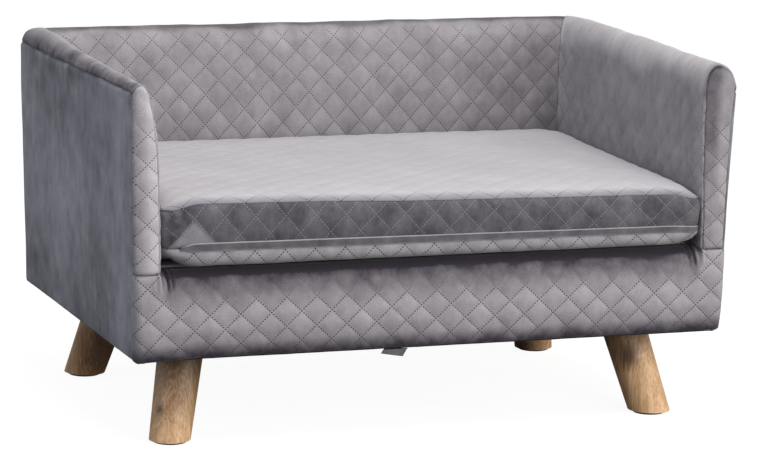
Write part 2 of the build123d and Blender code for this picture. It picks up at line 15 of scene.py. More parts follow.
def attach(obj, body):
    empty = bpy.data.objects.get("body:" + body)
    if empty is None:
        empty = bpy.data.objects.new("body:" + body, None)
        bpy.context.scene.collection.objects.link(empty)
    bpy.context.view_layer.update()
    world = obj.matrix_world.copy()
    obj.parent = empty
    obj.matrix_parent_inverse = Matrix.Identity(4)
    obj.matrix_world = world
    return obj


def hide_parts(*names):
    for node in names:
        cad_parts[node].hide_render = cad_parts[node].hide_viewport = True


MM = 0.001
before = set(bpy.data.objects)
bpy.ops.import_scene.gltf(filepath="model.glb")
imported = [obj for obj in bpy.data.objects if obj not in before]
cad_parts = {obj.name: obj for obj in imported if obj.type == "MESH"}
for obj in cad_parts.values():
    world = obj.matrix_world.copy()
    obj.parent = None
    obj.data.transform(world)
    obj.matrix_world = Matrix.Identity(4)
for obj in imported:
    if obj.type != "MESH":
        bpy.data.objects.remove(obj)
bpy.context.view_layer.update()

# %% [markdown]
# ## Camera
# A long lens a few metres away keeps a small piece of furniture from looking like a
# wide-angle snapshot. The place, the turn and the slight roll are written as numbers,
# because a camera that is only aimed at a target can't roll.

# %% Set the camera
FOCAL_PIXELS, FRAME_PIXELS, SENSOR = 3743.21, 758, 36.0
CAMERA_PLACE = Vector((-1469.4, -4082.8, 988.0)) * MM
yaw, pitch, roll = (math.radians(angle) for angle in (20.0035, 10.3596, 1.2342))
forward = Vector(
    (math.sin(yaw) * math.cos(pitch), math.cos(yaw) * math.cos(pitch), -math.sin(pitch))
)
level = forward.cross(Vector((0, 0, 1))).normalized()
upright = level.cross(forward)
axis_x = level * math.cos(roll) + upright * math.sin(roll)
axis_y = upright * math.cos(roll) - level * math.sin(roll)
camera_data = bpy.data.cameras.new("camera")
camera_data.sensor_width = SENSOR
camera_data.lens = FOCAL_PIXELS / FRAME_PIXELS * SENSOR
camera_data.clip_end = 50
camera = bpy.data.objects.new("camera", camera_data)
camera.matrix_world = Matrix.Translation(CAMERA_PLACE) @ (
    Matrix((axis_x, axis_y, -forward)).transposed().to_4x4()
)
bpy.context.scene.collection.objects.link(camera)
bpy.context.scene.camera = camera
bpy.context.scene.view_settings.view_transform = "Standard"
print("lens", round(camera_data.lens, 2), "mm")

# %% [markdown]
# ## Colours and nodes
# Colours are given as hex values, which are sRGB, while shaders work in linear
# light. One function turns them. A second one adds a node with its settings and links,
# so that a material reads as a list of steps.


# %% Colour and node helpers
def linear(hex_colour):
    """An sRGB hex colour as a linear RGBA tuple."""
    parts = [int(hex_colour[i : i + 2], 16) / 255 for i in (1, 3, 5)]
    return tuple(p / 12.92 if p <= 0.04045 else ((p + 0.055) / 1.055) ** 2.4 for p in parts) + (1,)


def add(tree, kind, inputs=(), **settings):
    """Adds a node. inputs fills its sockets by order or by name, settings are its properties."""
    node = tree.nodes.new("ShaderNode" + kind)
    for key, value in settings.items():
        setattr(node, key, value)
    for key, value in inputs.items() if isinstance(inputs, dict) else enumerate(inputs):
        if isinstance(value, bpy.types.Node):
            value = value.outputs[0]
        if isinstance(value, bpy.types.NodeSocket):
            tree.links.new(value, node.inputs[key])
        else:
            node.inputs[key].default_value = value
    return node


def new_material(name):
    """A material with an empty node tree."""
    material = bpy.data.materials.new(name)
    material.use_nodes = True
    material.node_tree.nodes.clear()
    return material, material.node_tree


print("mid grey is", round(linear("#808080")[0], 3), "in linear light")

# %% [markdown]
# ## Light, floor and background
# The light is plain and soft: a dim sky, a big lamp above the front and one from the
# right, so that round things such as the legs turn from light to dark. The background
# is white only for rays that come from the camera or bounce off gloss, so whitening it
# adds no light to the object. The floor keeps a faint shadow under the legs.

# %% Light the stage
world = bpy.data.worlds.new("studio")
bpy.context.scene.world = world
world.use_nodes = True
sky = world.node_tree
sky.nodes.clear()
ray = add(sky, "LightPath")
seen = [ray.outputs["Is Camera Ray"], ray.outputs["Is Glossy Ray"]]
seen = add(sky, "Math", seen, operation="MAXIMUM")
seen = add(sky, "Math", [seen, ray.outputs["Is Transmission Ray"]], operation="MAXIMUM")
lit = add(sky, "Background", [linear("#f3f3f4"), 0.34])
white = add(sky, "Background", [(1, 1, 1, 1), 1.0])
add(sky, "OutputWorld", [add(sky, "MixShader", [seen, lit, white])])


def lamp(name, place, target, size, power, colour):
    """A square soft lamp in metres, aimed at a point."""
    data = bpy.data.lights.new(name, "AREA")
    data.shape, data.size, data.energy = "SQUARE", size, power
    data.color = linear(colour)[:3]
    lamp_object = bpy.data.objects.new(name, data)
    aim = Vector(target) - Vector(place)
    turn = aim.to_track_quat("-Z", "Y").to_matrix().to_4x4()
    lamp_object.matrix_world = Matrix.Translation(place) @ turn
    bpy.context.scene.collection.objects.link(lamp_object)


lamp("top_lamp", (0.3, -0.9, 2.6), (0, 0, 0.2), 1.8, 48, "#fffefb")
lamp("front_lamp", (1.2, -3.2, 1.0), (0, 0, 0.2), 2.0, 58, "#ffffff")
lamp("right_lamp", (3.0, -1.6, 0.9), (0, 0, 0.1), 1.2, 26, "#fff8ef")
lamp("left_lamp", (-3.0, -0.4, 1.4), (0, 0, 0.2), 2.0, 17, "#e0e7fc")

floor_form = bmesh.new()
bmesh.ops.create_grid(floor_form, x_segments=1, y_segments=1, size=6)
floor_mesh = bpy.data.meshes.new("floor")
floor_form.to_mesh(floor_mesh)
floor_form.free()
floor = bpy.data.objects.new("floor", floor_mesh)
bpy.context.scene.collection.objects.link(floor)
floor_material, tree = new_material("pale_studio_floor")
ray = add(tree, "LightPath")
matt = add(tree, "BsdfDiffuse", {"Color": linear("#7c7c7c")})
glow = add(tree, "Emission", {"Color": (1, 1, 1, 1), "Strength": 0.93})
shade = add(tree, "BsdfDiffuse", {"Color": linear("#787878")})
pale = add(tree, "AddShader", [shade, glow])
add(tree, "OutputMaterial", [add(tree, "MixShader", [ray.outputs["Is Camera Ray"], matt, pale])])
floor_mesh.materials.append(floor_material)
print("floor and lamps in place")

# %% [markdown]
# ## Quilting stitches
# The cover is quilted in diamonds, 35.1 mm wide and 33 mm high, by rows of open stitches
# about 3.4 mm apart, each a small dark pit in the pile. They could be modelled one by
# one, but there are thousands, or painted in a picture, which blurs close by. Here two
# crossing sets of lines are cut into dashes by a few Math nodes. The pattern reads the
# cloth's own UV map, laid out in metres of cloth with a crossing at its origin, so the
# dots follow every fold.

# %% The stitches' pattern
DIAMOND_WIDE, DIAMOND_HIGH = 35.1, 33.0
LINE_SPACING = 1 / math.hypot(1 / DIAMOND_WIDE, 1 / DIAMOND_HIGH)
STITCHES_PER_SIDE, STITCH_WIDTH, STITCH_LENGTH_SHARE = 7, 0.66, 0.25


def stitches(tree, uv):
    """1 on the quilting's stitches and 0 between them, from a place on the cloth."""
    parts = add(tree, "SeparateXYZ", [uv])
    across = add(tree, "Math", [parts.outputs[0], 1 / DIAMOND_WIDE / MM], operation="MULTIPLY")
    up = add(tree, "Math", [parts.outputs[1], 1 / DIAMOND_HIGH / MM], operation="MULTIPLY")
    rising = add(tree, "Math", [across, up], operation="ADD")
    falling = add(tree, "Math", [across, up], operation="SUBTRACT")
    rows = []
    for line, along in ((rising, falling), (falling, rising)):
        away = add(tree, "Math", [line, 0.5], operation="PINGPONG")
        row = add(tree, "Math", [away, STITCH_WIDTH / LINE_SPACING], operation="LESS_THAN")
        pace = add(tree, "Math", [along, STITCHES_PER_SIDE], operation="MULTIPLY")
        pace = add(tree, "Math", [pace, 0.5], operation="PINGPONG")
        stitch = add(tree, "Math", [pace, STITCH_LENGTH_SHARE], operation="LESS_THAN")
        rows.append(add(tree, "Math", [row, stitch], operation="MULTIPLY"))
    return add(tree, "Math", rows, operation="MAXIMUM")


print("stitch lines are", round(LINE_SPACING, 1), "mm apart")

# %% [markdown]
# ## Velvet
# The cover is a short-pile polyester velvet, brushed so that the pile lies over in
# patches. Each patch sends the light another way, which the eye reads as a soft
# mottling of one colour, and the fibre tips glow where the cloth turns away: the sheen.
# Fibres could be grown as hair, but a sofa has millions. A noise that mixes two lies of
# the pile, dark and light, with the shader's sheen over it, looks the same from a step
# away. Two attributes of the mesh say how clearly its stitches show, "sewn", and which
# way the pile lies, "pile_and_painted_light", which on many pieces also carries painted
# shade and painted light.

# %% The velvet material
PIT_DEPTH, FIBRE_SIZE, FIBRE_DEPTH = 0.5, 1.2, 0.3


def velvet(name, dark, light, dot, stretch, patch, contrast, speckle=0.16, deepest=-0.35):
    """Velvet whose pile turns between two lies, dark and light, with stitches of colour dot.

    Its patches are patch millimetres wide and stretch times as long.
    """
    material, tree = new_material(name)
    uv = add(tree, "UVMap", uv_map="cloth")
    sewn = add(tree, "Attribute", attribute_name="sewn")
    dots = [stitches(tree, uv), sewn.outputs["Fac"]]
    dots = add(tree, "Math", dots, operation="MULTIPLY")
    # The pile's patches, drawn out along the way that it was brushed
    lie = add(tree, "Mapping", {"Vector": uv, "Scale": (1, 1 / stretch, 1)})
    patches = {"Vector": lie, "Scale": 1 / patch / MM, "Detail": 6.0, "Roughness": 0.68}
    patches = add(tree, "TexNoise", patches)
    low, high = 0.5 - contrast / 2, 0.5 + contrast / 2
    sway = add(tree, "MapRange", [patches, 0.32, 0.68, low, high], clamp=False)
    # The pile's lie from the mesh, which on many pieces also carries painted shade and light
    pile_and_painted_light = add(tree, "Attribute", attribute_name="pile_and_painted_light")
    sway = add(tree, "Math", [sway, pile_and_painted_light.outputs["Fac"]], operation="ADD")
    sway = add(tree, "Math", [sway, deepest], operation="MAXIMUM")
    lies = {0: sway, 6: linear(dark), 7: linear(light)}
    pile = add(tree, "Mix", lies, data_type="RGBA", clamp_factor=False)
    # Fibre tips, drawn coarser than real pile so that they show
    tips = add(tree, "TexNoise", {"Vector": uv, "Scale": 1 / FIBRE_SIZE / MM, "Detail": 2.0})
    speck = add(tree, "MapRange", [tips, 0.3, 0.7, 1 - speckle, 1 + speckle])
    pile = add(tree, "VectorMath", {0: pile.outputs[2], "Scale": speck}, operation="SCALE")
    marked = {0: dots, 6: pile, 7: linear(dot)}
    cloth_colour = add(tree, "Mix", marked, data_type="RGBA", clamp_factor=False)
    pits = add(tree, "Math", [dots, PIT_DEPTH / FIBRE_DEPTH], operation="MULTIPLY")
    relief = add(tree, "Math", [tips, pits], operation="SUBTRACT")
    bump = add(tree, "Bump", {"Strength": 0.5, "Distance": FIBRE_DEPTH * MM, "Height": relief})
    finish = {
        "Base Color": cloth_colour.outputs[2],
        "Roughness": 0.9,
        "Specular IOR Level": 0.2,
        "Sheen Weight": 0.2,
        "Sheen Roughness": 0.4,
        "Sheen Tint": linear("#e9e8ee"),
        "Normal": bump,
    }
    add(tree, "OutputMaterial", [add(tree, "BsdfPrincipled", finish)])
    return material


# Brushed level and even, and darkest where painted shade lies under the cushion
velvet_front = velvet("velvet_quilted_front", "#6c686d", "#a7a3a7", "#454146", 1.3, 34, 0.5,
                      deepest=-0.46)
# Upright and faced by the lamps, so its patches show plainly
velvet_back = velvet("velvet_quilted_back", "#757175", "#a8a4a8", "#4c484d", 1.4, 38, 0.6)
# Stroked along the arms, so its two lies differ most; the light lie also serves the painted
# highlight on the roll
velvet_inside = velvet("velvet_arm_inside", "#69656a", "#bcb8bb", "#4c484d", 1.4, 34, 0.35)
# Unquilted and turned from the lamps: a cooler grey in broad patches
velvet_side = velvet("velvet_smooth_side", "#737379", "#aaaab1", "#45474f", 1.0, 34, 0.6, 0.2)
# Pressed flat in one pale lie, with long soft waves
velvet_top = velvet("velvet_cushion_top", "#96939a", "#c3c0c4", "#5f5b60", 1.0, 90, 0.25, 0.05)
# Brushed down, which makes it the darkest cloth, and the thread glints on it
velvet_boxing = velvet("velvet_cushion_boxing", "#4a484d", "#838086", "#97949a", 1.2, 26, 0.6)
# Brushed up again, as on the front
velvet_lip = velvet("velvet_cushion_lip", "#6f6b70", "#a5a1a5", "#39353b", 1.6, 30, 0.6)
print("velvet materials:", len([m for m in bpy.data.materials if m.name.startswith("velvet")]))

# %% [markdown]
# ## The relief of cloth
# Quilted cloth swells between its stitches, rolls in at its seams, puckers beside them
# and is never quite smooth. A sculptor would push these in by hand. Here each is a small
# function of the place on the cloth, which can be added up, faded and moved exactly.


# %% Helpers for the relief
def smooth(share):
    """An S-shaped step from 0 to 1."""
    share = np.clip(share, 0, 1)
    return share * share * (3 - 2 * share)


def raised(surface, u, v, height):
    """Points of a surface moved out along its own normal by height, all in millimetres."""
    step = 0.5
    along = surface(u + step, v) - surface(u - step, v)
    up = surface(u, v + step) - surface(u, v - step)
    normal = np.cross(along, up)
    normal /= np.maximum(np.linalg.norm(normal, axis=1), 1e-9)[:, None]
    return surface(u, v) + normal * np.asarray(height).reshape(-1, 1)


def pillow(chart, high):
    """The quilting's height: 0 on the stitch lines, high in a diamond's middle."""
    across, up = chart[:, 0] / DIAMOND_WIDE, chart[:, 1] / DIAMOND_HIGH
    rise = high
    for line in (across + up, across - up):
        rise = rise * (1 - (1 - 2 * np.abs(line - np.round(line))) ** 3)
    return rise


def ripple(across, up, size, seed):
    """Soft noise from about -1 to 1 whose bumps are size millimetres apart."""
    return np.array([noise.noise((a / size, b / size, seed)) for a, b in zip(across, up)])


def tuck(distance, reach=4.0, depth=1.8):
    """How far cloth rolls in towards a seam, by its distance from the seam."""
    near = 1 - np.clip(distance / reach, 0, 1)
    return -depth * (1 - np.sqrt(1 - near * near))


def pucker(along, distance, high, reach=16.0, size=9.0, seed=0.0):
    """Short creases that run out from a seam and die away."""
    fade = np.exp(-np.maximum(distance, 0) / reach * 2.2)
    return high * ripple(along, distance * 0.25, size, seed) * fade


diamond_middle = np.array([[DIAMOND_WIDE / 2, 0.0]])
print("a pillow 1.7 mm high rises by", pillow(diamond_middle, 1.7)[0], "mm in its middle")

# %% [markdown]
# ## A sheet of cloth
# Every cover is a panel of cloth, cut flat and drawn over a form. A cloth simulation
# could drape it, but this skin is stretched hard over foam and its seams must land on
# known lines, so it is laid there directly: a flat grid from create_grid is moved onto
# a surface that is written as a function of the cloth's two lengths in millimetres, then
# pushed out along the surface's normal by its relief. A chart says which part of the
# quilting pattern lies where, as the distance from one stitch crossing. Solidify gives
# the sheet the thickness of cloth and wadding, and closes its edges.


# %% Lay and dress a sheet
def chart_from(crossing_u, crossing_v, wide=DIAMOND_WIDE, high=DIAMOND_HIGH):
    """A chart whose stitches cross at a place, for diamonds of a width and height."""

    def chart(u, v):
        across = (u - crossing_u) * DIAMOND_WIDE / wide
        return np.stack([across, (v - crossing_v) * DIAMOND_HIGH / high], axis=1)

    return chart


def cloth(name, wide, high, surface, height, material, chart=chart_from(0, 0), body="root",
          sewn=None, pile_and_painted_light=None, cell=(2.925, 2.75), thickness=1.6, weld=False):
    """A sheet laid over surface(u, v), with u and v in millimetres from wide and high."""
    grid = bmesh.new()
    columns = max(3, round((wide[1] - wide[0]) / cell[0]))
    rows = max(3, round((high[1] - high[0]) / cell[1]))
    bmesh.ops.create_grid(grid, x_segments=columns, y_segments=rows, size=0.5)
    mesh = bpy.data.meshes.new(name)
    grid.to_mesh(mesh)
    grid.free()
    flat = np.empty(len(mesh.vertices) * 3, np.float32)
    mesh.vertices.foreach_get("co", flat)
    share = flat.reshape(-1, 3).astype(float) + 0.5
    u = wide[0] + share[:, 0] * (wide[1] - wide[0])
    v = high[0] + share[:, 1] * (high[1] - high[0])
    pattern = chart(u, v)
    points = raised(surface, u, v, height(u, v, pattern))
    mesh.vertices.foreach_set("co", (points * MM).astype(np.float32).ravel())
    corners = np.empty(len(mesh.loops), np.int32)
    mesh.loops.foreach_get("vertex_index", corners)
    layer = mesh.uv_layers.new(name="cloth")
    layer.data.foreach_set("uv", (pattern[corners] * MM).astype(np.float32).ravel())
    for key, source in (("sewn", sewn), ("pile_and_painted_light", pile_and_painted_light)):
        values = np.zeros(len(u)) if source is None else source(u, v) * np.ones(len(u))
        attribute = mesh.attributes.new(key, "FLOAT", "POINT")
        attribute.data.foreach_set("value", values.astype(np.float32))
    if weld:
        loop = bmesh.new()
        loop.from_mesh(mesh)
        bmesh.ops.remove_doubles(loop, verts=loop.verts, dist=0.02 * MM)
        loop.to_mesh(mesh)
        loop.free()
    mesh.polygons.foreach_set("use_smooth", [True] * len(mesh.polygons))
    mesh.materials.append(material)
    piece = bpy.data.objects.new(name, mesh)
    bpy.context.scene.collection.objects.link(piece)
    wall = piece.modifiers.new("thickness", "SOLIDIFY")
    wall.thickness, wall.offset = thickness * MM, -1
    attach(piece, body)
    print(f"{name}: {len(mesh.polygons)} quads")
    return piece


def dress(piece, slot, *nodes, fill=0.85):
    """Hides the CAD nodes that a padded cover stands for. slot and fill are not used."""
    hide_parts(*nodes)


print("cloth is laid on grids of quads, with a wall of 1.6 mm unless a piece says otherwise")

# %% [markdown]
# ## A rolled edge
# Upholstery has no sharp edges: at a hem or a corner the cloth rolls over a radius. A
# Bevel modifier would round a finished corner, but it would stretch the quilting. This
# helper bends the length itself: given how far along the cloth a point is, it says how
# far along the form that lies, and how far it has turned in.


# %% Roll an edge
def turned(length, low, high, low_round, high_round):
    """A length that rolls over an edge at each end: its place, and how far it turned in."""
    at_low = (low + low_round - length) / low_round
    at_high = (length - high + high_round) / high_round
    quarter = math.pi / 2
    low_turn, high_turn = np.clip(at_low, 0, quarter), np.clip(at_high, 0, quarter)
    place = np.clip(length, low + low_round, high - high_round)
    place = place - low_round * np.sin(low_turn) + high_round * np.sin(high_turn)
    inward = low_round * (1 - np.cos(low_turn)) + high_round * (1 - np.cos(high_turn))
    inward = inward + low_round * np.maximum(at_low - quarter, 0)
    inward = inward + high_round * np.maximum(at_high - quarter, 0)
    return place, inward


# A rolled edge is this many radii longer than the corner that it replaces
EDGE_EXTRA = math.pi / 2 - 1
print("a rolled edge of 10 mm takes", round(10 * EDGE_EXTRA, 1), "mm more cloth than a corner")

# %% [markdown]
# ## The rolled walls
# The arms and the back are one U of padded wall. Its section is a rolled top whose
# outer side turns down to a seam and whose inner side falls slowly to the seat. An
# upholsterer pulls each arm a little differently, so the section is given at three
# places, the left front, the back and the right front, and blends between them. Each
# section is a row of points: the share across the wall, from 0 at the seat to 1
# outside, and the height. A curve through them gives the form.
# Three walls could be made apart and joined, but the roll would break at the rear
# corners. Sweeping one section round the U keeps it whole there: the ridge swings round
# while the outside stays sharp.

# %% The wall's form
HALF_WIDTH, HALF_DEPTH, BOTTOM, BASE_SEAM, DECK = 350.0, 241.5, 107.2, 203.0, 208.5
HALF_SEAT, BACK_FACE = 323.0, 194.5
ARM_WALL, BACK_WALL = 35.5, 47.0
ARM_RUN, SEAT_RUN = BACK_FACE + HALF_DEPTH, HALF_SEAT * 2
U_RUN = ARM_RUN * 2 + SEAT_RUN
CORNER_X, CORNER_Y = 303.5, 168.6
# A corner drawn with power 2 is round, and the higher the power, the squarer it is
INNER_POWER, RIDGE_POWER, OUTER_POWER = 4, 5, 18
LEFT_RIM, RIGHT_RIM = 2.0, 1.4
LEFT_SECTION = ((0.0, 203), (0.02, 250), (0.06, 300), (0.12, 340), (0.22, 368),
                (0.33, 391), (0.44, 405), (0.62, 412.5), (0.85, 411), (1.0, 404))
BACK_SECTION = ((0.0, 203), (0.0, 250), (0.0, 300), (0.01, 345), (0.05, 375),
                (0.14, 397), (0.33, 410.5), (0.58, 415), (0.86, 410), (1.0, 398))
RIGHT_SECTION = ((0.0, 203), (-0.01, 245), (-0.05, 290), (-0.08, 335), (-0.08, 372),
                 (-0.04, 397), (0.12, 411), (0.46, 416.5), (0.86, 407), (1.08, 386))
SECTIONS = np.array([LEFT_SECTION, BACK_SECTION, RIGHT_SECTION], float)


def curve_through(points, place):
    """Catmull-Rom curve through each row's points, read at place from 0 to the last point."""
    last = points.shape[1] - 1
    step = np.clip(place.astype(int), 0, last - 1)
    share = (place - step)[:, None]
    rows = np.arange(len(place))
    p0, p1, p2, p3 = (points[rows, np.clip(step + k, 0, last)] for k in (-1, 0, 1, 2))
    bend = (2 * p0 - 5 * p1 + 4 * p2 - p3) * share**2 + (3 * p1 - p0 - 3 * p2 + p3) * share**3
    return 0.5 * (2 * p1 + (p2 - p0) * share + bend)


fine = np.linspace(0, len(BACK_SECTION) - 1, 400)
middle_section = np.repeat(SECTIONS.mean(0)[None], len(fine), 0)
traced = curve_through(middle_section, fine) * ((ARM_WALL + BACK_WALL) / 2, 1)
trace_steps = np.linalg.norm(np.diff(traced, axis=0), axis=1)
trace_length = np.concatenate(([0], np.cumsum(trace_steps)))
WALL_HIGH = trace_length[-1]


def ring(u, v):
    """The wall's inner face and roll: u runs round the U from the left front, v up and over."""
    run = np.minimum(u, U_RUN - u)
    near_front = smooth(1 - run / ARM_RUN)
    left = near_front * (u < U_RUN / 2)
    right = near_front * (u >= U_RUN / 2)
    weights = np.stack([left, 1 - left - right, right], axis=1)
    section = np.einsum("nk,kpc->npc", weights, SECTIONS)
    across, z = curve_through(section, np.interp(v, trace_length, fine)).T
    on_arm = run < ARM_RUN
    past_arm = run - HALF_DEPTH - CORNER_Y
    past_back = HALF_SEAT - (run - ARM_RUN) - CORNER_X
    near_x = np.where(on_arm, HALF_SEAT - CORNER_X, np.maximum(past_back, 0))
    near_y = np.where(on_arm, np.maximum(past_arm, 0), BACK_FACE - CORNER_Y)
    angle = np.arctan2(near_y, near_x)
    cosine, sine = np.cos(angle), np.sin(angle)
    inner_x, inner_y = cosine / (HALF_SEAT - CORNER_X), sine / (BACK_FACE - CORNER_Y)
    inner = (inner_x**INNER_POWER + inner_y**INNER_POWER) ** (-1 / INNER_POWER)
    power = RIDGE_POWER + (OUTER_POWER - RIDGE_POWER) * smooth((across - 0.6) / 0.4)
    outer_x = cosine / (HALF_SEAT + ARM_WALL - CORNER_X)
    outer_y = sine / (BACK_FACE + BACK_WALL - CORNER_Y)
    outer = (outer_x**power + outer_y**power) ** (-1 / power)
    reach = inner + across * (outer - inner)
    x = CORNER_X + reach * cosine + np.where(on_arm, 0, np.minimum(past_back, 0))
    y = CORNER_Y + reach * sine + np.where(on_arm, np.minimum(past_arm, 0), 0)
    return np.stack([np.where(u < U_RUN / 2, -x, x), y, z], axis=1)


def wall(u, v):
    """The ring, with its front ends rolled in to the arms' front bands."""
    place, inward = turned(u, 0, U_RUN, LEFT_RIM, RIGHT_RIM)
    return raised(ring, place, v, -inward)


print("the section is", round(WALL_HIGH), "mm long from the deck to the outer seam")

# %% [markdown]
# ## Inner covers
# Three panels: one up each arm and one up the back, sewn together at the inner corners
# and over the rear corners of the roll. They are laid on the one form above, so their
# seams meet without any fitting. The back is quilted up to the start of its roll, while
# on the arms the brushed pile hides most of the stitches. On the roll the tone is painted
# light: painted shade along the back, a painted highlight along the arms. A crossing is
# where two rows of stitches meet on the cloth.

# %% Cover the arms and the back inside
LEFT_END, RIGHT_END = -LEFT_RIM * EDGE_EXTRA, U_RUN + RIGHT_RIM * EDGE_EXTRA
BACK_START, BACK_END = ARM_RUN, ARM_RUN + SEAT_RUN
BACK_DIAMOND_WIDE, BACK_DIAMOND_HIGH = 33.0, 35.0
BACK_CROSSING_X, BACK_CROSSING_V, ARM_CROSSING_U, ARM_CROSSING_V = -122.3, 107.6, 30.8, 138.0
BACK_ROLL, ARM_ROLL = 45.0, 62.0
back_chart = chart_from(ARM_RUN + HALF_SEAT + BACK_CROSSING_X, BACK_CROSSING_V,
                        BACK_DIAMOND_WIDE, BACK_DIAMOND_HIGH)
arm_chart = chart_from(ARM_CROSSING_U, ARM_CROSSING_V)


def wall_height(quilting, roll, swell=0.0, peak=0.0, before=45.0, after=45.0):
    """Height of an inner cover: quilting, seams, soft waves and one swell on its roll.

    The swell peaks at a place round the U and fades over a length before and after it.
    """

    def height(u, v, chart):
        seam = WALL_HIGH - v
        edge = np.minimum(np.abs(u - LEFT_END), np.abs(u - RIGHT_END))
        rise = pillow(chart, quilting) * smooth((seam - roll) / 16)
        rise += tuck(seam) + tuck(edge, 4, 0.5)
        rise += 0.9 * ripple(u, v, 60, 3.1) + 0.4 * ripple(u, v, 19, 12.1)
        rise += 1.3 * ripple(u, v, 42, 6.1) * smooth(1 - seam / 60)
        rise += pucker(u, seam, 1.3, seed=3.1) + pucker(v, edge, 0.5, seed=8.1)
        swollen = ((u - peak) / np.where(u < peak, before, after)) ** 2
        return rise + swell * np.exp(-swollen - ((seam - 46) / 32) ** 2)

    return height


def back_sewn(u, v):
    return 0.9 * smooth((WALL_HIGH - BACK_ROLL + 4 - v) / 8)


def back_pile_and_shade(u, v):
    """Tone of the back: painted shade on the roll, and a little darker towards the right arm."""
    rolled = smooth((v - WALL_HIGH + BACK_ROLL + 6 * ripple(u, v, 40, 6.5)) / 12)
    creases = 0.35 * ripple(u, v * 5, 30, 8.5) * rolled
    return creases - 0.8 * rolled - 0.175 * smooth((u - BACK_END + 190) / 150)


def arm_sewn(front, rear):
    """Stitches show near the arm's front and rear and fade in its brushed middle."""

    def sewn(u, v):
        shown = 0.7 * smooth(1 - np.abs(u - front) / 60) + 0.8 * smooth(1 - np.abs(u - rear) / 90)
        return shown * smooth((WALL_HIGH - ARM_ROLL - v) / 14)

    return sewn


def arm_pile_and_painted_light(front, rear, middle, crest, rubbed_and_shaded):
    """Tone of an arm: from middle inside to crest on the roll, lighter at the rim and rear corner.

    The lighter crest is a painted highlight. rubbed_and_shaded is how much the pile on the
    roll is rubbed and how deep the painted shade under its seam is. An arm with little of it
    gets a crisp line of painted shade down its front rim.
    """
    crisp = rubbed_and_shaded < 0.5

    def pile_and_painted_light(u, v):
        # The roll's tone from middle to crest is painted light: a highlight along its top
        rolled = smooth((v - WALL_HIGH + 76 + 12 * ripple(u, v, 70, 2.5)) / 24)
        rim = smooth(1 - np.abs(u - front) / 26)
        # A line of painted shade down the front rim, where the roll meets the band
        rim_shade = smooth((v - WALL_HIGH + 84) / 16) * smooth((WALL_HIGH - 26 - v) / 10)
        rim_shade = (0.3 + 0.7 * rim_shade) * smooth(1 - np.abs(u - front) / 5) * crisp
        rim_shade = rim_shade * (v < WALL_HIGH - 26)
        corner = smooth(1 - np.abs(u - rear) / 60)
        light = np.clip(rolled + 0.45 * rim + 0.3 * corner, 0, 1)
        # Painted shade on the roll near its front end
        light = light * (1 - 0.6 * rolled * smooth(1 - np.abs(u - front) / 30) * crisp)
        # Painted shade just under the roll's seam
        under = smooth((v - WALL_HIGH + 34 + 9 * ripple(u, v, 30, 3.3)) / 30)
        creases = 0.15 * ripple(u * 4, v, 20, 2.9) * rolled
        lumps = rubbed_and_shaded * (0.5 * ripple(u, v, 46, 4.9) + 0.25 * ripple(u, v, 16, 6.9)) * rolled
        tone = middle + (crest - middle) * light - 0.9 * under * rubbed_and_shaded - 0.8 * rim_shade
        return tone + creases + lumps

    return pile_and_painted_light


left_ends, right_ends = (LEFT_END, BACK_START), (BACK_END, RIGHT_END)
left_arm = cloth("left_arm_inner_velvet", left_ends, (0, WALL_HIGH), wall,
                 wall_height(0.9, ARM_ROLL, 5.0, BACK_START - 42), velvet_inside, arm_chart,
                 sewn=arm_sewn(*left_ends), pile_and_painted_light=arm_pile_and_painted_light(*left_ends, 0.1, 0.08, 0.7))
dress(left_arm, "quilted_velvet", "left_arm_inner_cover", "left_arm_foam")
back = cloth("back_inner_velvet", (BACK_START, BACK_END), (0, WALL_HIGH), wall,
             wall_height(1.7, BACK_ROLL), velvet_back, back_chart,
             sewn=back_sewn, pile_and_painted_light=back_pile_and_shade)
dress(back, "quilted_velvet", "back_inner_cover", "back_foam")
right_arm = cloth("right_arm_inner_velvet", right_ends, (0, WALL_HIGH), wall,
                  wall_height(0.9, ARM_ROLL, 4.8, BACK_END + 40, 36, 260), velvet_inside, arm_chart,
                  sewn=arm_sewn(RIGHT_END, BACK_END),
                  pile_and_painted_light=arm_pile_and_painted_light(RIGHT_END, BACK_END, -0.08, 0.45, 0.1))
dress(right_arm, "quilted_velvet", "right_arm_inner_cover", "right_arm_foam")

# %% [markdown]
# ## Outer panels
# One smooth panel closes each side from the roll's seam down to the frame's underside,
# where it turns under the boards and is stapled. It leans out a little. A plane cut to
# the outline would do for a board, but cloth bulges, follows the seam above and rolls
# at its edges, so it is laid like the others: its upper edge reads the roll's seam, and
# its lower edge the hem. The rear panel is made the same way. The cloth is brushed
# downwards, so its patches are broad. Below the seam the roll presses dimples into it.

# %% Close the sides and the rear
LEAN, LEAN_LOW, LEAN_HIGH = 8.5, 104.0, 388.0
REAR_ROUND, HEM_ROUND, HEM = 8.0, 4.0, 12.0
# How far below the front's hem the side and rear hems pass, to lie under the boards
TUCKED, TUCKED_FROM_FRONT = 2.4, 20.0
SAG_SIDE, SAG_FRONT, SAG_START = 1.8, 1.6, 275.0
PANEL_HIGH, REAR_HALF, PANEL_BULGE = 295.0, 345.0, 1.4
SIDE_FRONT_ROUND = {-1: 1.0, 1: 2.5}
SIDE_FRONT_WRAP = {-1: -3.5, 1: 3.5}


def side_at(z):
    """Half the sofa's width at a height: the sides lean out."""
    return HALF_WIDTH + LEAN * (z - LEAN_LOW) / (LEAN_HIGH - LEAN_LOW)


def sag(x, y):
    """The covers hang lower on the left side, and lowest at its front corner."""
    ahead = np.clip((HALF_DEPTH - y) / 2 / HALF_DEPTH, 0, 1)
    leftwards = np.clip((-x - SAG_START) / (HALF_WIDTH - SAG_START), 0, 1)
    return (SAG_SIDE + SAG_FRONT * ahead) * leftwards


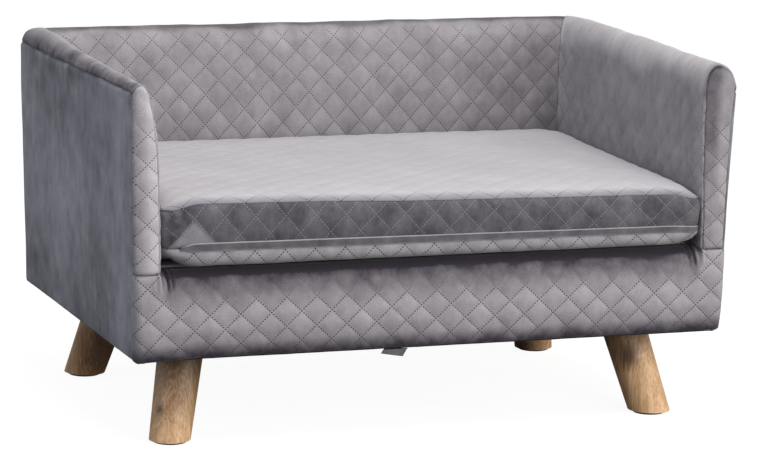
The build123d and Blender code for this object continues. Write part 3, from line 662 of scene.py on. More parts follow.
def outer_seam(y, sign):
    """Where the roll's outer seam lies at a depth: its distance from the middle and its height."""
    run = np.clip(y, -HALF_DEPTH, CORNER_Y) + HALF_DEPTH
    seam = ring(run if sign < 0 else U_RUN - run, np.full(len(run), WALL_HIGH))
    return np.abs(seam[:, 0]), seam[:, 2]


def outer_side(sign):
    """A side panel's surface: u runs along the sofa's depth and v up from the hem."""

    def surface(u, v):
        front_round = SIDE_FRONT_ROUND[sign]
        y, round_in = turned(u * sign, -HALF_DEPTH, HALF_DEPTH, front_round, REAR_ROUND)
        share = np.clip(v / PANEL_HIGH, 0, 1)
        seam_x, seam_z = outer_seam(y, sign)
        rise, hem_in = turned(v, 0, 2 * PANEL_HIGH, HEM_ROUND, HEM_ROUND)
        under = TUCKED * smooth((y + HALF_DEPTH) / TUCKED_FROM_FRONT)
        foot = BOTTOM - np.maximum(sag(sign * HALF_WIDTH, y), under)
        z = foot + rise * (seam_z - foot) / PANEL_HIGH
        x = side_at(z) + (seam_x - side_at(seam_z)) * share**4
        bulge = PANEL_BULGE * np.sin(np.pi * share) * np.cos(y / HALF_DEPTH * 1.45)
        return np.stack([sign * (x + bulge - round_in - hem_in), y, z], axis=1)

    return surface


def outer_rear(u, v):
    """The rear panel's surface, seen from behind."""
    rise, hem_in = turned(v, 0, 2 * PANEL_HIGH, HEM_ROUND, HEM_ROUND)
    foot = BOTTOM - TUCKED
    z = foot + rise * (BACK_SECTION[-1][1] - foot) / PANEL_HIGH
    x = -u * (side_at(z) - REAR_ROUND) / REAR_HALF
    share = np.clip(v / PANEL_HIGH, 0, 1)
    bulge = PANEL_BULGE * np.sin(np.pi * share) * np.cos(u / REAR_HALF * 1.5)
    return np.stack([x, HALF_DEPTH + bulge - hem_in, z], axis=1)


def side_height(ends, seed):
    """Height of an outer panel: rolled edges, long waves and dimples below the seam."""

    def height(u, v, chart):
        seam, edge = PANEL_HIGH - v, np.minimum(u - ends[0], ends[1] - u)
        rise = tuck(seam, 6, 2.6) + tuck(edge, 3, 0.8)
        waves = 0.9 * ripple(u, v * 0.5, 48, seed) + 0.3 * ripple(u, v * 0.4, 14, seed + 4)
        rise += waves * smooth((v + 3) / 8)
        rise += pucker(u, seam, 3.0, reach=34, size=34, seed=seed)
        return rise + pucker(u, seam, 0.8, seed=seed + 2)

    return height


def side_pile_and_shade(sign):
    """Tone of a side: painted shade at its front edge, along the seam and on the right one's wrap,
    and darker low at the rear.
    """

    def pile_and_painted_light(u, v):
        # Painted shade where the panel turns at its front, below the roll's seam and on the wrap;
        # the strokes and waves are the pile
        front_edge = smooth(1 - (u * sign + HALF_DEPTH) / 60)
        wrapped = smooth((-u * sign - HALF_DEPTH + 1) / 2) * (sign > 0)
        strokes = 0.25 * ripple(u, v * 0.45, 11, 7.4)
        seam = smooth(1 - (PANEL_HIGH - v) / 30) * (0.3 + 1.2 * ripple(u, v, 34, 4.4))
        rear_foot = smooth((70 - v + 0.15 * u * sign) / 60)
        tone = 0.1 - 0.3 * front_edge - 0.6 * seam - 0.4 * rear_foot - 0.35 * wrapped
        return tone + 0.6 * ripple(u, v * 0.8, 100, 5.4) + strokes

    return pile_and_painted_light


HEM_START = -(HEM_ROUND * EDGE_EXTRA + HEM)
for side, sign in (("left", -1), ("right", 1)):
    front_edge = HALF_DEPTH + SIDE_FRONT_ROUND[sign] * EDGE_EXTRA + SIDE_FRONT_WRAP[sign]
    rear_edge = HALF_DEPTH + REAR_ROUND * EDGE_EXTRA
    wide = (-front_edge, rear_edge) if sign > 0 else (-rear_edge, front_edge)
    piece = cloth(f"{side}_outer_velvet", wide, (HEM_START, PANEL_HIGH), outer_side(sign),
                  side_height(wide, 11.0 + sign), velvet_side, pile_and_painted_light=side_pile_and_shade(sign), cell=(4, 4))
    dress(piece, "smooth_velvet", f"{side}_arm_outer_cover", fill=0.9)
wide = (-REAR_HALF, REAR_HALF)
rear = cloth("rear_outer_velvet", wide, (HEM_START, PANEL_HIGH), outer_rear,
             side_height(wide, 21.0), velvet_side, cell=(4, 4))
dress(rear, "smooth_velvet", "back_outer_cover", fill=0.9)

# %% [markdown]
# ## Front bands of the arms
# Each arm ends in a narrow quilted band, sewn into the rolled rim. Its outline is the
# arm's own section drawn in by the rim's radius. It could be one filled outline, but
# such a face can't be quilted or domed. A patch between four curves, two long sides,
# the foot and the short arch on top, fills it with even quads instead.

# %% Fill the arms' fronts
BAND_WIDE, BAND_HIGH, ARCH_START, ARCH_RUN = 30.0, 200.0, 44.0, 40.0
BAND_OUTER_INSET, BAND_WRAP = {-1: -0.6, 1: 4.0}, {-1: 3.6, 1: 0.0}
BAND_CROSSING, BAND_SEWN_HIGH = {-1: (-339.6, 324.8), 1: (340.1, 305.2)}, {-1: 166, 1: 158}


def section_point(sign, v):
    """The front end of an arm's cover at a length up its section."""
    return wall(np.full(len(v), LEFT_END if sign < 0 else RIGHT_END), v)


def band_surface(sign):
    """A patch between the arm's section, the outer seam, the arch on top and the foot."""
    zero, one = np.zeros(1), np.ones(1)

    def inner_side(share):
        return section_point(sign, share * (WALL_HIGH - ARCH_START))

    def arch(share):
        return section_point(sign, WALL_HIGH - ARCH_START + share * ARCH_RUN)

    top = arch(one)[0]

    def outer_line(share):
        z = BASE_SEAM + share * (top[2] - BASE_SEAM)
        inset = BAND_OUTER_INSET[sign]
        lift = top[0] - sign * (side_at(top[2]) - inset)
        x = sign * (side_at(z) - inset) + lift * share**6
        return np.stack([x, np.full(len(z), top[1]), z], axis=1)

    def surface(u, v):
        across = u / BAND_WIDE if sign > 0 else 1 - u / BAND_WIDE
        across, up = np.clip(across, 0, 1), np.clip(v / BAND_HIGH, 0, 1)
        a, b = across[:, None], up[:, None]
        top_in, top_out = arch(zero), arch(one)
        sides = inner_side(up) * (1 - a) + outer_line(up) * a
        crest = top_in * (1 - a) + top_out * a
        points = sides + (arch(across) - crest) * b
        points[:, 1] = -HALF_DEPTH + BAND_WRAP[sign] * smooth((across - 0.86) / 0.14)
        return points

    return surface


def band_height(sign):
    """Height of a band: domed between its seams and softly quilted."""

    def height(u, v, chart):
        edge = np.minimum(np.minimum(u, BAND_WIDE - u), BAND_HIGH - v)
        dome = 2.4 * np.sqrt(np.clip(edge, 0, 11) / 11)
        waves = 0.6 * ripple(u, v, 22, 31 + sign)
        arch_seam = tuck(BAND_HIGH - v, 4, 1.8 if sign > 0 else 0.4)
        return dome + pillow(chart, 0.8) + tuck(edge, 2, 0.5) + tuck(v, 3, 1.6) + waves + arch_seam

    return height


def band_pile_and_shade(sign):
    """Tone of a band: lighter towards the seat on the left one, painted shade on the right one."""

    def pile_and_painted_light(u, v):
        inner = 1 - u / BAND_WIDE if sign > 0 else u / BAND_WIDE
        if sign < 0:
            return 0.15 + 0.85 * smooth((inner - 0.1) / 0.8) + 0.25 * ripple(u, v, 16, 33)
        # On the right band, painted shade towards the seat, high up and in a line along the arch
        # seam
        shaded = smooth((inner - 0.35) / 0.35) * smooth((v - 40) / 90)
        arch_seam = smooth(1 - (BAND_HIGH - v) / 5)
        topmost = smooth((v - 115) / 50)
        return 0.2 - 0.6 * shaded - 0.15 * topmost - 0.6 * arch_seam + 0.25 * ripple(u, v, 16, 35)

    return pile_and_painted_light


def band_sewn(sign):
    """Stitches on a band show up to a height and fade on its crest."""
    return lambda u, v: 0.85 * smooth((BAND_SEWN_HIGH[sign] - v) / 14)


for side, sign in (("left", -1), ("right", 1)):
    surface = band_surface(sign)

    def chart(u, v, surface=surface, crossing=BAND_CROSSING[sign]):
        return surface(u, v)[:, (0, 2)] - crossing

    piece = cloth(f"{side}_front_band_velvet", (0, BAND_WIDE), (0, BAND_HIGH), surface,
                  band_height(sign), velvet_front, chart, cell=(1.2, 2.5),
                  sewn=band_sewn(sign), pile_and_painted_light=band_pile_and_shade(sign))
    dress(piece, "quilted_velvet", f"{side}_arm_front_band", fill=0.9)

# %% [markdown]
# ## The base's front
# One quilted panel covers the base and wraps round its vertical corners. Between the
# arms its upper edge rolls back over the deck, and under the arms it ends in the seam
# below the bands. The two meet where the arm's inner face stands, in a few small pleats.
# Two panels, with and without the roll, would show a join there that the real cover
# doesn't have, so one panel's rounding changes smoothly from the one to the other.

# %% Cover the base's front
DECK_ROUND, SEAM_ROUND, FOOT_ROUND, CORNER_ROUND, CORNER_WRAP = 25.0, 3.0, 4.0, 9.0, 5.0
ROLL_TOP = 203.5
PLEAT_X, PLEAT_START, PLEAT_REACH, PLEAT_PACE = 314.0, 300.0, 9.0, 3.2
FRONT_HALF = HALF_WIDTH + CORNER_ROUND * EDGE_EXTRA + CORNER_WRAP
FRONT_TOP = ROLL_TOP + DECK_ROUND * EDGE_EXTRA + 8
FRONT_CROSSING_X, FRONT_CROSSING_Z = -1.5, 138.5
ARM_LINE = 318.0
front_chart = chart_from(FRONT_CROSSING_X, FRONT_CROSSING_Z)


def base_front(u, v):
    """The base's front: u runs across it and v up from the hem and over the deck's edge."""
    x, corner_in = turned(u, -HALF_WIDTH, HALF_WIDTH, CORNER_ROUND, CORNER_ROUND)
    under_arm = smooth((np.abs(u) - ARM_LINE + 5) / 10)
    top = ROLL_TOP + (BASE_SEAM + 1 - ROLL_TOP) * under_arm
    top_round = DECK_ROUND + (SEAM_ROUND - DECK_ROUND) * under_arm
    z, inward = turned(v, BOTTOM, top, FOOT_ROUND, top_round)
    lean = (side_at(z) + 0.9 + 1.6 * smooth((z - 100) / 40) * (u > 0)) / HALF_WIDTH
    bulge = 0.9 + 1.5 * np.clip(1 - ((z - 158) / 56) ** 2, 0, 1)
    drop = sag(x, -HALF_DEPTH) * np.clip((BASE_SEAM - z) / (BASE_SEAM - BOTTOM), 0, 1)
    sideways = np.clip(corner_in / CORNER_ROUND, 0, 1)
    out_x = x * lean - np.sign(x) * inward * sideways
    y = -HALF_DEPTH + corner_in + (inward - bulge) * (1 - sideways)
    return np.stack([out_x, y, z - drop], axis=1)


def pleats(u, v, low, fade):
    """Where the pleats lie, above a height, and their wave across the cloth."""
    outside = np.abs(u)
    zone = np.exp(-(((outside - PLEAT_X) / PLEAT_REACH) ** 2)) * smooth((v - low) / fade)
    return zone, np.sin((outside - PLEAT_START) / PLEAT_PACE * math.pi)


def front_height(u, v, chart):
    outside = np.abs(u)
    zone, wave = pleats(u, v, 178, 16)
    flat = smooth((FRONT_HALF - outside - 6) / 16)
    rise = pillow(chart, 1.6) * smooth((206 - v) / 18) * smooth((v - 106) / 8) * flat
    rise += 1.8 * wave * zone
    waves = 0.9 * ripple(u, v, 55, 41) + 0.3 * ripple(u, v, 16, 43)
    rise += waves * smooth((v - 104) / 10) * (0.3 + 0.7 * flat)
    seam = np.where(outside > ARM_LINE + 3, BASE_SEAM - v, 99)
    return rise + tuck(seam, 5, 2.0) + tuck(FRONT_HALF - outside, 3, 1.0)


def front_sewn(u, v):
    """Stitches are dark, but look lighter than the pile in the shade under the cushion."""
    return 1 - 1.45 * smooth((v - 168) / 16) * smooth((ARM_LINE + 2 - np.abs(u)) / 10)


def front_pile_and_shade(u, v):
    """Tone of the front: painted shade near the hem, under the cushion and in the pleats."""
    # Painted shade under the cushion, deepest right below its lip, and near the hem
    shaded = smooth((v - 158) / 40) * smooth((ARM_LINE + 2 - np.abs(u)) / 10)
    low, hem = smooth((150 - v) / 30), smooth((128 - v) / 18)
    creases = 0.15 * ripple(u, v * 2, 24, 45) * shaded
    deep = smooth((v - 196) / 10) * smooth((ARM_LINE + 3 - np.abs(u)) / 10)
    # Painted shade in the pleats' troughs
    zone, wave = pleats(u, v, 180, 14)
    tone = 0.32 - 1.1 * shaded - 0.35 * low - 0.85 * hem - 0.7 * deep
    return tone - 0.45 * zone * (1 - wave) + creases


front_start = BOTTOM - FOOT_ROUND * EDGE_EXTRA - HEM
front_panel = cloth("base_front_velvet", (-FRONT_HALF, FRONT_HALF), (front_start, FRONT_TOP),
                    base_front, front_height, velvet_front, front_chart,
                    sewn=front_sewn, pile_and_painted_light=front_pile_and_shade, cell=(1.6, 2.6))
dress(front_panel, "quilted_velvet", "front_cover", "front_foam")

# %% [markdown]
# ## Plain cloths
# A plain woven polyester lies over the deck's wadding and shows only when the cushion
# is out. A black spun-bonded cloth closes the underside, and a bare satin care tab hangs
# from the front hem. A weave could be built from two waves, but these threads are finer
# than a pixel, so a noise stands for them, drawn coarse at about a millimetre. It makes
# woven and pressed cloth look dull and dry. The satin's lower roughness gives it a gleam.


# %% Materials of the plain cloths
def plain_cloth(name, dark, light, thread, rough):
    """A plain woven or pressed cloth. thread is its grain in millimetres."""
    material, tree = new_material(name)
    place = add(tree, "TexCoord").outputs["Object"]
    weave = add(tree, "TexNoise", {"Vector": place, "Scale": 1 / thread / MM, "Detail": 2.0})
    tone = add(tree, "Mix", {0: weave, 6: linear(dark), 7: linear(light)}, data_type="RGBA")
    bump = add(tree, "Bump", {"Strength": 0.5, "Distance": 0.3 * MM, "Height": weave})
    finish = {"Base Color": tone.outputs[2], "Roughness": rough, "Normal": bump}
    add(tree, "OutputMaterial", [add(tree, "BsdfPrincipled", finish)])
    return material


# A dull grey weave
deck_cloth = plain_cloth("polyester_deck_cloth", "#6f6d72", "#8b898d", 1.2, 0.9)
# Almost black and quite dry
dust_material = plain_cloth("spunbond_dust_cloth", "#111113", "#29292c", 1.6, 0.8)
# A smoother ribbon with a faint gleam
tab_material = plain_cloth("satin_care_tab", "#3f3c41", "#66636a", 1.3, 0.55)
print("plain cloths:", deck_cloth.name, dust_material.name, tab_material.name)

# %% [markdown]
# ## Deck, underside and care tab
# The deck cloth is tucked in all round between the wadding and the frame, so its edge
# dips. The dust cloth is stapled to the frame's underside: it starts inside the front
# hem, passes under the boards and shows small puckers near its edge. The tab is a short
# cut of ribbon, stapled askew behind the front hem, whose end hangs down. A flat plane
# would do for all three from afar. The same laid sheet gives them their dips and curl.


# %% Lay the deck cloth, the dust cloth and the care tab
def level_sheet(z, facing):
    """A level sheet that faces up for 1 and down for -1."""
    return lambda u, v: np.stack([u * facing, v, np.full(len(u), z)], axis=1)


DECK_WIDE, DECK_FRONT, DECK_REAR, DECK_TUCK = 322.0, -208.0, 193.5, 3.5


def deck_height(u, v, chart):
    edge = np.minimum(np.minimum(DECK_WIDE - np.abs(u), DECK_REAR - v), v - DECK_FRONT)
    return 0.6 * ripple(u, v, 45, 51) - DECK_TUCK * (1 - smooth(edge / 16))


deck = cloth("deck_cloth", (-DECK_WIDE, DECK_WIDE), (DECK_FRONT, DECK_REAR),
             level_sheet(DECK - 0.4, 1), deck_height, deck_cloth, cell=(7, 7), thickness=1.2)
dress(deck, "deck_cloth", "deck_cover", "deck_wadding", fill=0.5)

DUST_WIDE, DUST_DEEP, DUST_Z, DUST_DIP = 345.0, 236.5, 105.4, 1.3


def dust_height(u, v, chart):
    """Height of the dust cloth, measured downwards: it dips under the boards and sags left."""
    edge = np.minimum(DUST_WIDE - np.abs(u), DUST_DEEP - np.abs(v))
    rise = DUST_DIP * smooth((v + DUST_DEEP) / 14) + 0.55 * sag(-u, v)
    rise += 0.2 * ripple(u, v, 40, 61)
    return rise + 0.15 * ripple(u, v, 12, 63) * smooth(1 - edge / 40)


dust = cloth("dust_cloth", (-DUST_WIDE, DUST_WIDE), (-DUST_DEEP, DUST_DEEP),
             level_sheet(DUST_Z, -1), dust_height, dust_material, cell=(6, 6), thickness=0.6)
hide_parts("dust_cover")

TAB_WIDE, TAB_LONG, TAB_LEFT, TAB_SKEW = 24.5, 13.0, -61.0, math.radians(31)
TAB_HANGS, TAB_HANGS_MORE, TAB_BELOW = 5.1, 5.2, 0.9


def tab_surface(u, v):
    """A short tab, stapled askew under the hem, that hangs aslant and curls a little."""
    hanging = TAB_HANGS + TAB_HANGS_MORE * u / TAB_WIDE - v
    down, back = np.maximum(hanging, 0), np.maximum(-hanging, 0)
    x = TAB_LEFT + u / math.cos(TAB_SKEW) - hanging * math.sin(TAB_SKEW)
    y = -DUST_DEEP + back * math.cos(TAB_SKEW) - 0.12 * down * np.sin(u / TAB_WIDE * 3.0)
    return np.stack([x, y, DUST_Z - TAB_BELOW - down * math.cos(TAB_SKEW)], axis=1)


tab = cloth("care_tab_satin", (0, TAB_WIDE), (0, TAB_LONG), tab_surface,
            lambda u, v, chart: np.zeros(len(u)), tab_material, cell=(1, 1), thickness=0.5)
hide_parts("care_tab")

# %% [markdown]
# ## The cushion's form
# The seat cushion is a foam block in a sewn cover: a top panel, a boxing strip round
# the sides and a lower panel that comes up in a rounded lip. The foam pushes the cloth
# out between the seams, and the front and both ends draw in a little between the
# corners. The left end stands some millimetres higher than the right one, and the front
# seam arches up between its corners. A cloth simulation with pressure would swell a
# block in its own way. Here the form has to follow one real cushion, so its outline,
# crown and slope are functions that all its panels share, and their seams stay closed.

# %% The cushion in plan and in height
PAD_X, PAD_FRONT, PAD_REAR, PAD_CORNER = 321.0, -243.5, 187.5, 15.0
PAD_MIDDLE, PAD_Y = (PAD_FRONT + PAD_REAR) / 2, (PAD_REAR - PAD_FRONT) / 2
PAD_BOTTOM, PAD_STRIP, PAD_SEAM, PAD_CROWN = 208.9, 229.8, 270.2, 13.5
PAD_SLOPE, CORNER_DIP, CORNER_REACH, SHOULDER = 5.0, 3.0, 45.0, 12.0
FRONT_ARCH, FRONT_ARCH_LEFT, FRONT_ARCH_REACH, FRONT_REACH = 3.2, 2.2, 40.0, 60.0
DRAWN_IN_X, DRAWN_IN_Y, CORNER_STEPS = 2.0, 1.0, 12


def draw_in(x, y):
    """The front and both ends bow in between the corners, and the rear stays straight."""
    share_x, share_y = x / PAD_X, (y - PAD_MIDDLE) / PAD_Y
    ahead = (1 - share_y) / 2
    return x - DRAWN_IN_X * share_x * (1 - share_y**2), y + DRAWN_IN_Y * (1 - share_x**2) * ahead


def at_front(y):
    """1 at the cushion's front and 0 from FRONT_REACH behind it."""
    return smooth((PAD_FRONT + FRONT_REACH - y) / 45)


def sloped(x, y, z):
    """The upper parts stand higher at the left end and along the front, and corners dip."""
    up = (z - PAD_BOTTOM) / (PAD_SEAM - PAD_BOTTOM)
    corner = smooth((np.abs(x) - PAD_X) / CORNER_REACH + 1)
    corner = corner * smooth((np.abs(y - PAD_MIDDLE) - PAD_Y) / CORNER_REACH + 1)
    ahead = np.clip((PAD_MIDDLE - y) / PAD_Y, -1, 1) * 0.5 + 0.5
    arched = FRONT_ARCH + FRONT_ARCH_LEFT * smooth((-x - 20) / 140)
    arched = arched * smooth((PAD_X - np.abs(x)) / FRONT_ARCH_REACH) * at_front(y)
    at_seam = np.minimum((z - PAD_STRIP) / (PAD_SEAM - PAD_STRIP), 1 + (PAD_SEAM - z) / PAD_CROWN)
    z = z + arched * np.clip(at_seam, 0, 1)
    return z - up * (x / PAD_X * PAD_SLOPE * ahead + corner * CORNER_DIP)


def pad_outline():
    """Points round the cushion, counter-clockwise, beginning at its left front corner."""
    points = []
    for sign_x, sign_y, start in ((-1, -1, 180), (1, -1, 270), (1, 1, 0), (-1, 1, 90)):
        centre_x = sign_x * (PAD_X - PAD_CORNER)
        centre_y = PAD_MIDDLE + sign_y * (PAD_Y - PAD_CORNER)
        for step in range(CORNER_STEPS + 1):
            turn = math.radians(start + 90 * step / CORNER_STEPS)
            points.append((centre_x + PAD_CORNER * math.cos(turn),
                           centre_y + PAD_CORNER * math.sin(turn)))
    return np.array(points + points[:1])


outline = pad_outline()
outline_steps = np.linalg.norm(np.diff(outline, axis=0), axis=1)
outline_length = np.concatenate(([0], np.cumsum(outline_steps)))
RIM_RUN = outline_length[-1]
FRONT_MIDDLE = PAD_CORNER * math.pi / 2 + PAD_X - PAD_CORNER


def rim_point(p):
    """The outline at a length round it, and the way it faces."""
    here = []
    for shift in (-0.5, 0, 0.5):
        at = np.mod(p + shift, RIM_RUN)
        here.append(draw_in(np.interp(at, outline_length, outline[:, 0]),
                            np.interp(at, outline_length, outline[:, 1])))
    (x0, y0), (x, y), (x1, y1) = here
    size = np.maximum(np.hypot(x1 - x0, y1 - y0), 1e-9)
    return x, y, (y1 - y0) / size, (x0 - x1) / size


def off_rim(rim, out, z):
    """Points moved straight out from the rim, at heights of the cushion before it slopes."""
    x, y, out_x, out_y = rim
    return np.stack([x + out_x * out, y + out_y * out, sloped(x, y, z)], axis=1)


def crown(x, y):
    """How far the top panel stands above its seam."""
    rise = PAD_CROWN
    for edge in (PAD_X - np.abs(x), PAD_Y - np.abs(y - PAD_MIDDLE)):
        rise = rise * (1 - np.exp(-np.maximum(edge, 0) / SHOULDER))
    return rise


print("round the cushion:", round(RIM_RUN), "mm")

# %% [markdown]
# ## The cushion's top
# The top panel keeps its straight quilting lines in plan. Its grid is square, and a
# Bevel on its corners would leave long thin faces there, so the corner squares are eased
# into quarter discs. Its shoulders are steep, where the cloth turns down to the seam,
# and the middle is almost level.


# %% Sew the cushion's top
TOP_DIAMOND_WIDE, TOP_CROSSING_X = 36.8, 12.1
# The shoulder is steep, so the cloth runs further there than its plan shows
SHOULDER_EXTRA, SHOULDER_RUN = 3.5, 14.0


def pad_plan(u, v):
    """A rectangle with its corner squares eased into quarter discs."""
    off_x, off_y = u, v - PAD_MIDDLE
    over_x = np.clip(np.abs(off_x) - (PAD_X - PAD_CORNER), 0, PAD_CORNER)
    over_y = np.clip(np.abs(off_y) - (PAD_Y - PAD_CORNER), 0, PAD_CORNER)
    eased_x = over_x * np.sqrt(1 - (over_y / PAD_CORNER) ** 2 / 2)
    eased_y = over_y * np.sqrt(1 - (over_x / PAD_CORNER) ** 2 / 2)
    x = np.sign(off_x) * (np.abs(off_x) - over_x + eased_x)
    return x, PAD_MIDDLE + np.sign(off_y) * (np.abs(off_y) - over_y + eased_y)


def pad_top(u, v):
    """The top panel's surface: the plan, drawn in at its sides and raised by the crown."""
    x, y = pad_plan(np.clip(u, -PAD_X, PAD_X), np.clip(v, PAD_FRONT, PAD_REAR))
    pulled_x, pulled_y = draw_in(x, y)
    return np.stack([pulled_x, pulled_y, sloped(x, y, PAD_SEAM + crown(x, y))], axis=1)


def top_chart(u, v):
    x, y = pad_plan(u, v)
    ahead = y - PAD_FRONT
    across = (x - TOP_CROSSING_X) * DIAMOND_WIDE / TOP_DIAMOND_WIDE + DIAMOND_WIDE / 2
    return np.stack([across, ahead + SHOULDER_EXTRA * smooth(ahead / SHOULDER_RUN)], axis=1)


def top_height(u, v, chart):
    edge = np.minimum(PAD_X - np.abs(u), PAD_Y - np.abs(v - PAD_MIDDLE))
    waves = 0.8 * ripple(u, v, 90, 71) + 0.3 * ripple(u, v, 26, 73)
    rise = pillow(chart, 0.9) * smooth((edge - 2) / 10) + waves * smooth(edge / 6)
    return rise + pucker(u + v, edge, 0.6, reach=12, size=8, seed=75) * smooth(edge / 3)


def top_sewn(u, v):
    """Stitches show on the front shoulder and hardly elsewhere."""
    front = smooth(1 - (v - PAD_FRONT) / 24)
    return 1.2 * front + 0.15 * smooth(1 - (PAD_REAR - v) / 60)


def top_tone(u, v):
    """Tone of the top: pale, darker far back, to the right and on the front shoulder."""
    front = smooth(1 - (v - PAD_FRONT) / SHOULDER_RUN)
    return 0.25 - 0.35 * smooth((v - 120) / 60) - 0.15 * smooth((u - 200) / 100) - 1.0 * front


pad_top_piece = cloth("cushion_top_velvet", (-PAD_X, PAD_X), (PAD_FRONT, PAD_REAR), pad_top,
                      top_height, velvet_top, top_chart, body="cushion",
                      sewn=top_sewn, pile_and_painted_light=top_tone)
dress(pad_top_piece, "cushion_velvet", "cushion_top_cover", "cushion_foam", fill=0.8)

# %% [markdown]
# ## The cushion's boxing
# The boxing runs round as a closed ring. A cut cylinder could be squashed to the plan,
# but a sheet whose length runs along the outline keeps its stitches evenly spaced round
# the corners. Its ends are welded. It swells between its two seams and lies flat behind,
# where the zip is sewn in. Its pile is brushed down, so it is the cushion's darkest
# part, and the stitches glint lighter than the pile. At the front strip's left end the
# seam is pulled together, and a pale diamond of cloth is pressed the other way.

# %% Sew the boxing
ZIP_HALF, STRIP_START = 262.0, -302.0
SEAM_SET_BACK, ZIP_SET_BACK = 1.2, 1.6
BOXING_CROSSING, BOXING_CROSSING_Z = 12.2, 240.5
PALE_X, PALE_TOP, PALE_SLOPE = -287.0, 257.0, 0.85
boxing_chart = chart_from(FRONT_MIDDLE + BOXING_CROSSING, BOXING_CROSSING_Z)


def zip_zone(x, y):
    """1 along the zip behind and 0 elsewhere."""
    return smooth((ZIP_HALF - np.abs(x)) / 14) * (y > 0)


def open_seam(x, y):
    """1 left of the strip, where the seam lies open and all but vanishes."""
    return smooth((STRIP_START - x) / 8) * at_front(y)


def boxing(u, v):
    """The boxing's surface: u runs round the cushion and v is the height before the slope."""
    rim = rim_point(u)
    share = np.clip((v - PAD_STRIP) / (PAD_SEAM - PAD_STRIP), 0, 1)
    swell = 2.0 * np.sin(np.pi * share) - SEAM_SET_BACK * (1 - share)
    return off_rim(rim, swell - (ZIP_SET_BACK + swell) * zip_zone(*rim[:2]), v)


def boxing_height(u, v, chart):
    x, y = rim_point(u)[:2]
    free = 1 - zip_zone(x, y)
    seam = np.minimum(PAD_SEAM - v, v - PAD_STRIP)
    rise = pillow(chart, 1.4) * smooth(seam / 7) * free
    wave = 0.8 * ripple(x + v, y - v, 34, 81) * smooth(seam / 8) * free
    closed = 1 - 0.85 * open_seam(x, y) * smooth((246 - v) / 10)
    return rise + wave + tuck(seam, 3.0, 1.0) * closed


def boxing_lay(u, v):
    """Pile on the boxing: dark, but for the left front corner and the pale diamond."""
    x, y = rim_point(u)[:2]
    corner = 0.6 * smooth((-x - 312) / 7)
    diamond = smooth((PALE_TOP - PALE_SLOPE * np.abs(x - PALE_X) - v) / 5)
    pulled = np.maximum(corner, diamond) + 0.5 * ripple(x + v, v, 7, 85) * smooth((-x - 285) / 15)
    return 0.2 * ripple(x, y, 40, 83) + 0.95 * pulled * at_front(y) - 0.25


boxing_piece = cloth("cushion_boxing_velvet", (0, RIM_RUN), (PAD_STRIP, PAD_SEAM), boxing,
                     boxing_height, velvet_boxing, boxing_chart, body="cushion",
                     sewn=lambda u, v: 0.5, pile_and_painted_light=boxing_lay, weld=True)
dress(boxing_piece, "cushion_velvet", "cushion_boxing")

# %% [markdown]
# ## The cushion's lower cover
# The lower cover comes up round the foam in a soft lip, rolls under and lies on the
# deck. It is a ring like the boxing, laid from the seam downwards. Its middle would lie
# hidden on the deck, so the ring ends some 40 mm in under the cushion. At the front
# corners the lip lifts, because the cloth is gathered there into the end of the strip,
# which leaves a few creases.

# %% Sew the lower cover
LIP_ROUND, LIP_CORNER_ROUND, LIP_UNDER = 9.0, 18.0, 40.0
LIP_LIFT_LEFT, LIP_LIFT_RIGHT = 10.0, 5.0
LIP_CROSSING, LIP_CROSSING_UP = 12.0, 1.5
LIP_HIGH = PAD_STRIP - PAD_BOTTOM
LIP_LENGTH = LIP_HIGH + LIP_ROUND * EDGE_EXTRA + LIP_UNDER


def lower_cover(u, v):
    """The lip: it runs down from the strip, rolls under and lies flat on the deck."""
    rim = rim_point(-u)
    x, y = rim[:2]
    corner = smooth((np.abs(x) - PAD_X + 50) / 40) * smooth((PAD_FRONT + FRONT_REACH - y) / 50)
    lip_round = LIP_ROUND + (LIP_CORNER_ROUND - LIP_ROUND) * corner
    rise, inward = turned(LIP_HIGH - v, 0, LIP_HIGH * 3, lip_round, LIP_ROUND)
    down = np.clip(v / LIP_HIGH, 0, 1)
    out = 1.8 * np.sin(np.pi * down) - SEAM_SET_BACK * (1 - down) - inward
    left, right = LIP_LIFT_LEFT * smooth((-x - 284) / 38), LIP_LIFT_RIGHT * smooth((x - 292) / 32)
    points = off_rim(rim, out, PAD_BOTTOM + rise)
    points[:, 2] += (left + right) * (1 - np.clip(rise / LIP_HIGH, 0, 1)) * at_front(y)
    return points


def lip_chart(u, v):
    """The lip is laid backwards and downwards, so its pattern is turned to match the boxing."""
    return np.stack([-u - FRONT_MIDDLE - LIP_CROSSING, LIP_HIGH - v + LIP_CROSSING_UP], axis=1)


def lip_height(u, v, chart):
    quilted = smooth((24 - v) / 8) * smooth(v / 6)
    waves = 0.6 * ripple(u, v, 30, 91) * smooth(v / 5) * smooth((30 - v) / 6)
    x, y = rim_point(-u)[:2]
    closed = 1 - 0.85 * open_seam(x, y)
    creases = 1.6 * ripple(x * 0.2, v, 3.4, 93) * smooth(1 - np.abs(x + 306) / 16) * at_front(y)
    seam = tuck(v, 3.0, 1.0) * closed + creases * smooth((16 - v) / 8)
    return pillow(chart, 1.0) * quilted + seam + waves


lip_piece = cloth("cushion_lower_velvet", (-RIM_RUN, 0), (0, LIP_LENGTH), lower_cover,
                  lip_height, velvet_lip, lip_chart, body="cushion",
                  sewn=lambda u, v: smooth((30 - v) / 8), pile_and_painted_light=lambda u, v: 0.1, weld=True)
dress(lip_piece, "cushion_velvet", "cushion_bottom_cover")

# %% [markdown]
# ## The strip along the cushion's front
# A folded strip of the same velvet hides the lower seam. It is flat, with its folded
# edges a little raised, and at its left end it is tucked into the seam in a small knot
# of creases. A curve with a flat bevel could run along the seam, but it couldn't taper
# or crease at its end. So it is laid round the front as one more piece of cloth.

# %% Sew on the strip
STRIP_HALF, STRIP_END = 4.2, 318.0


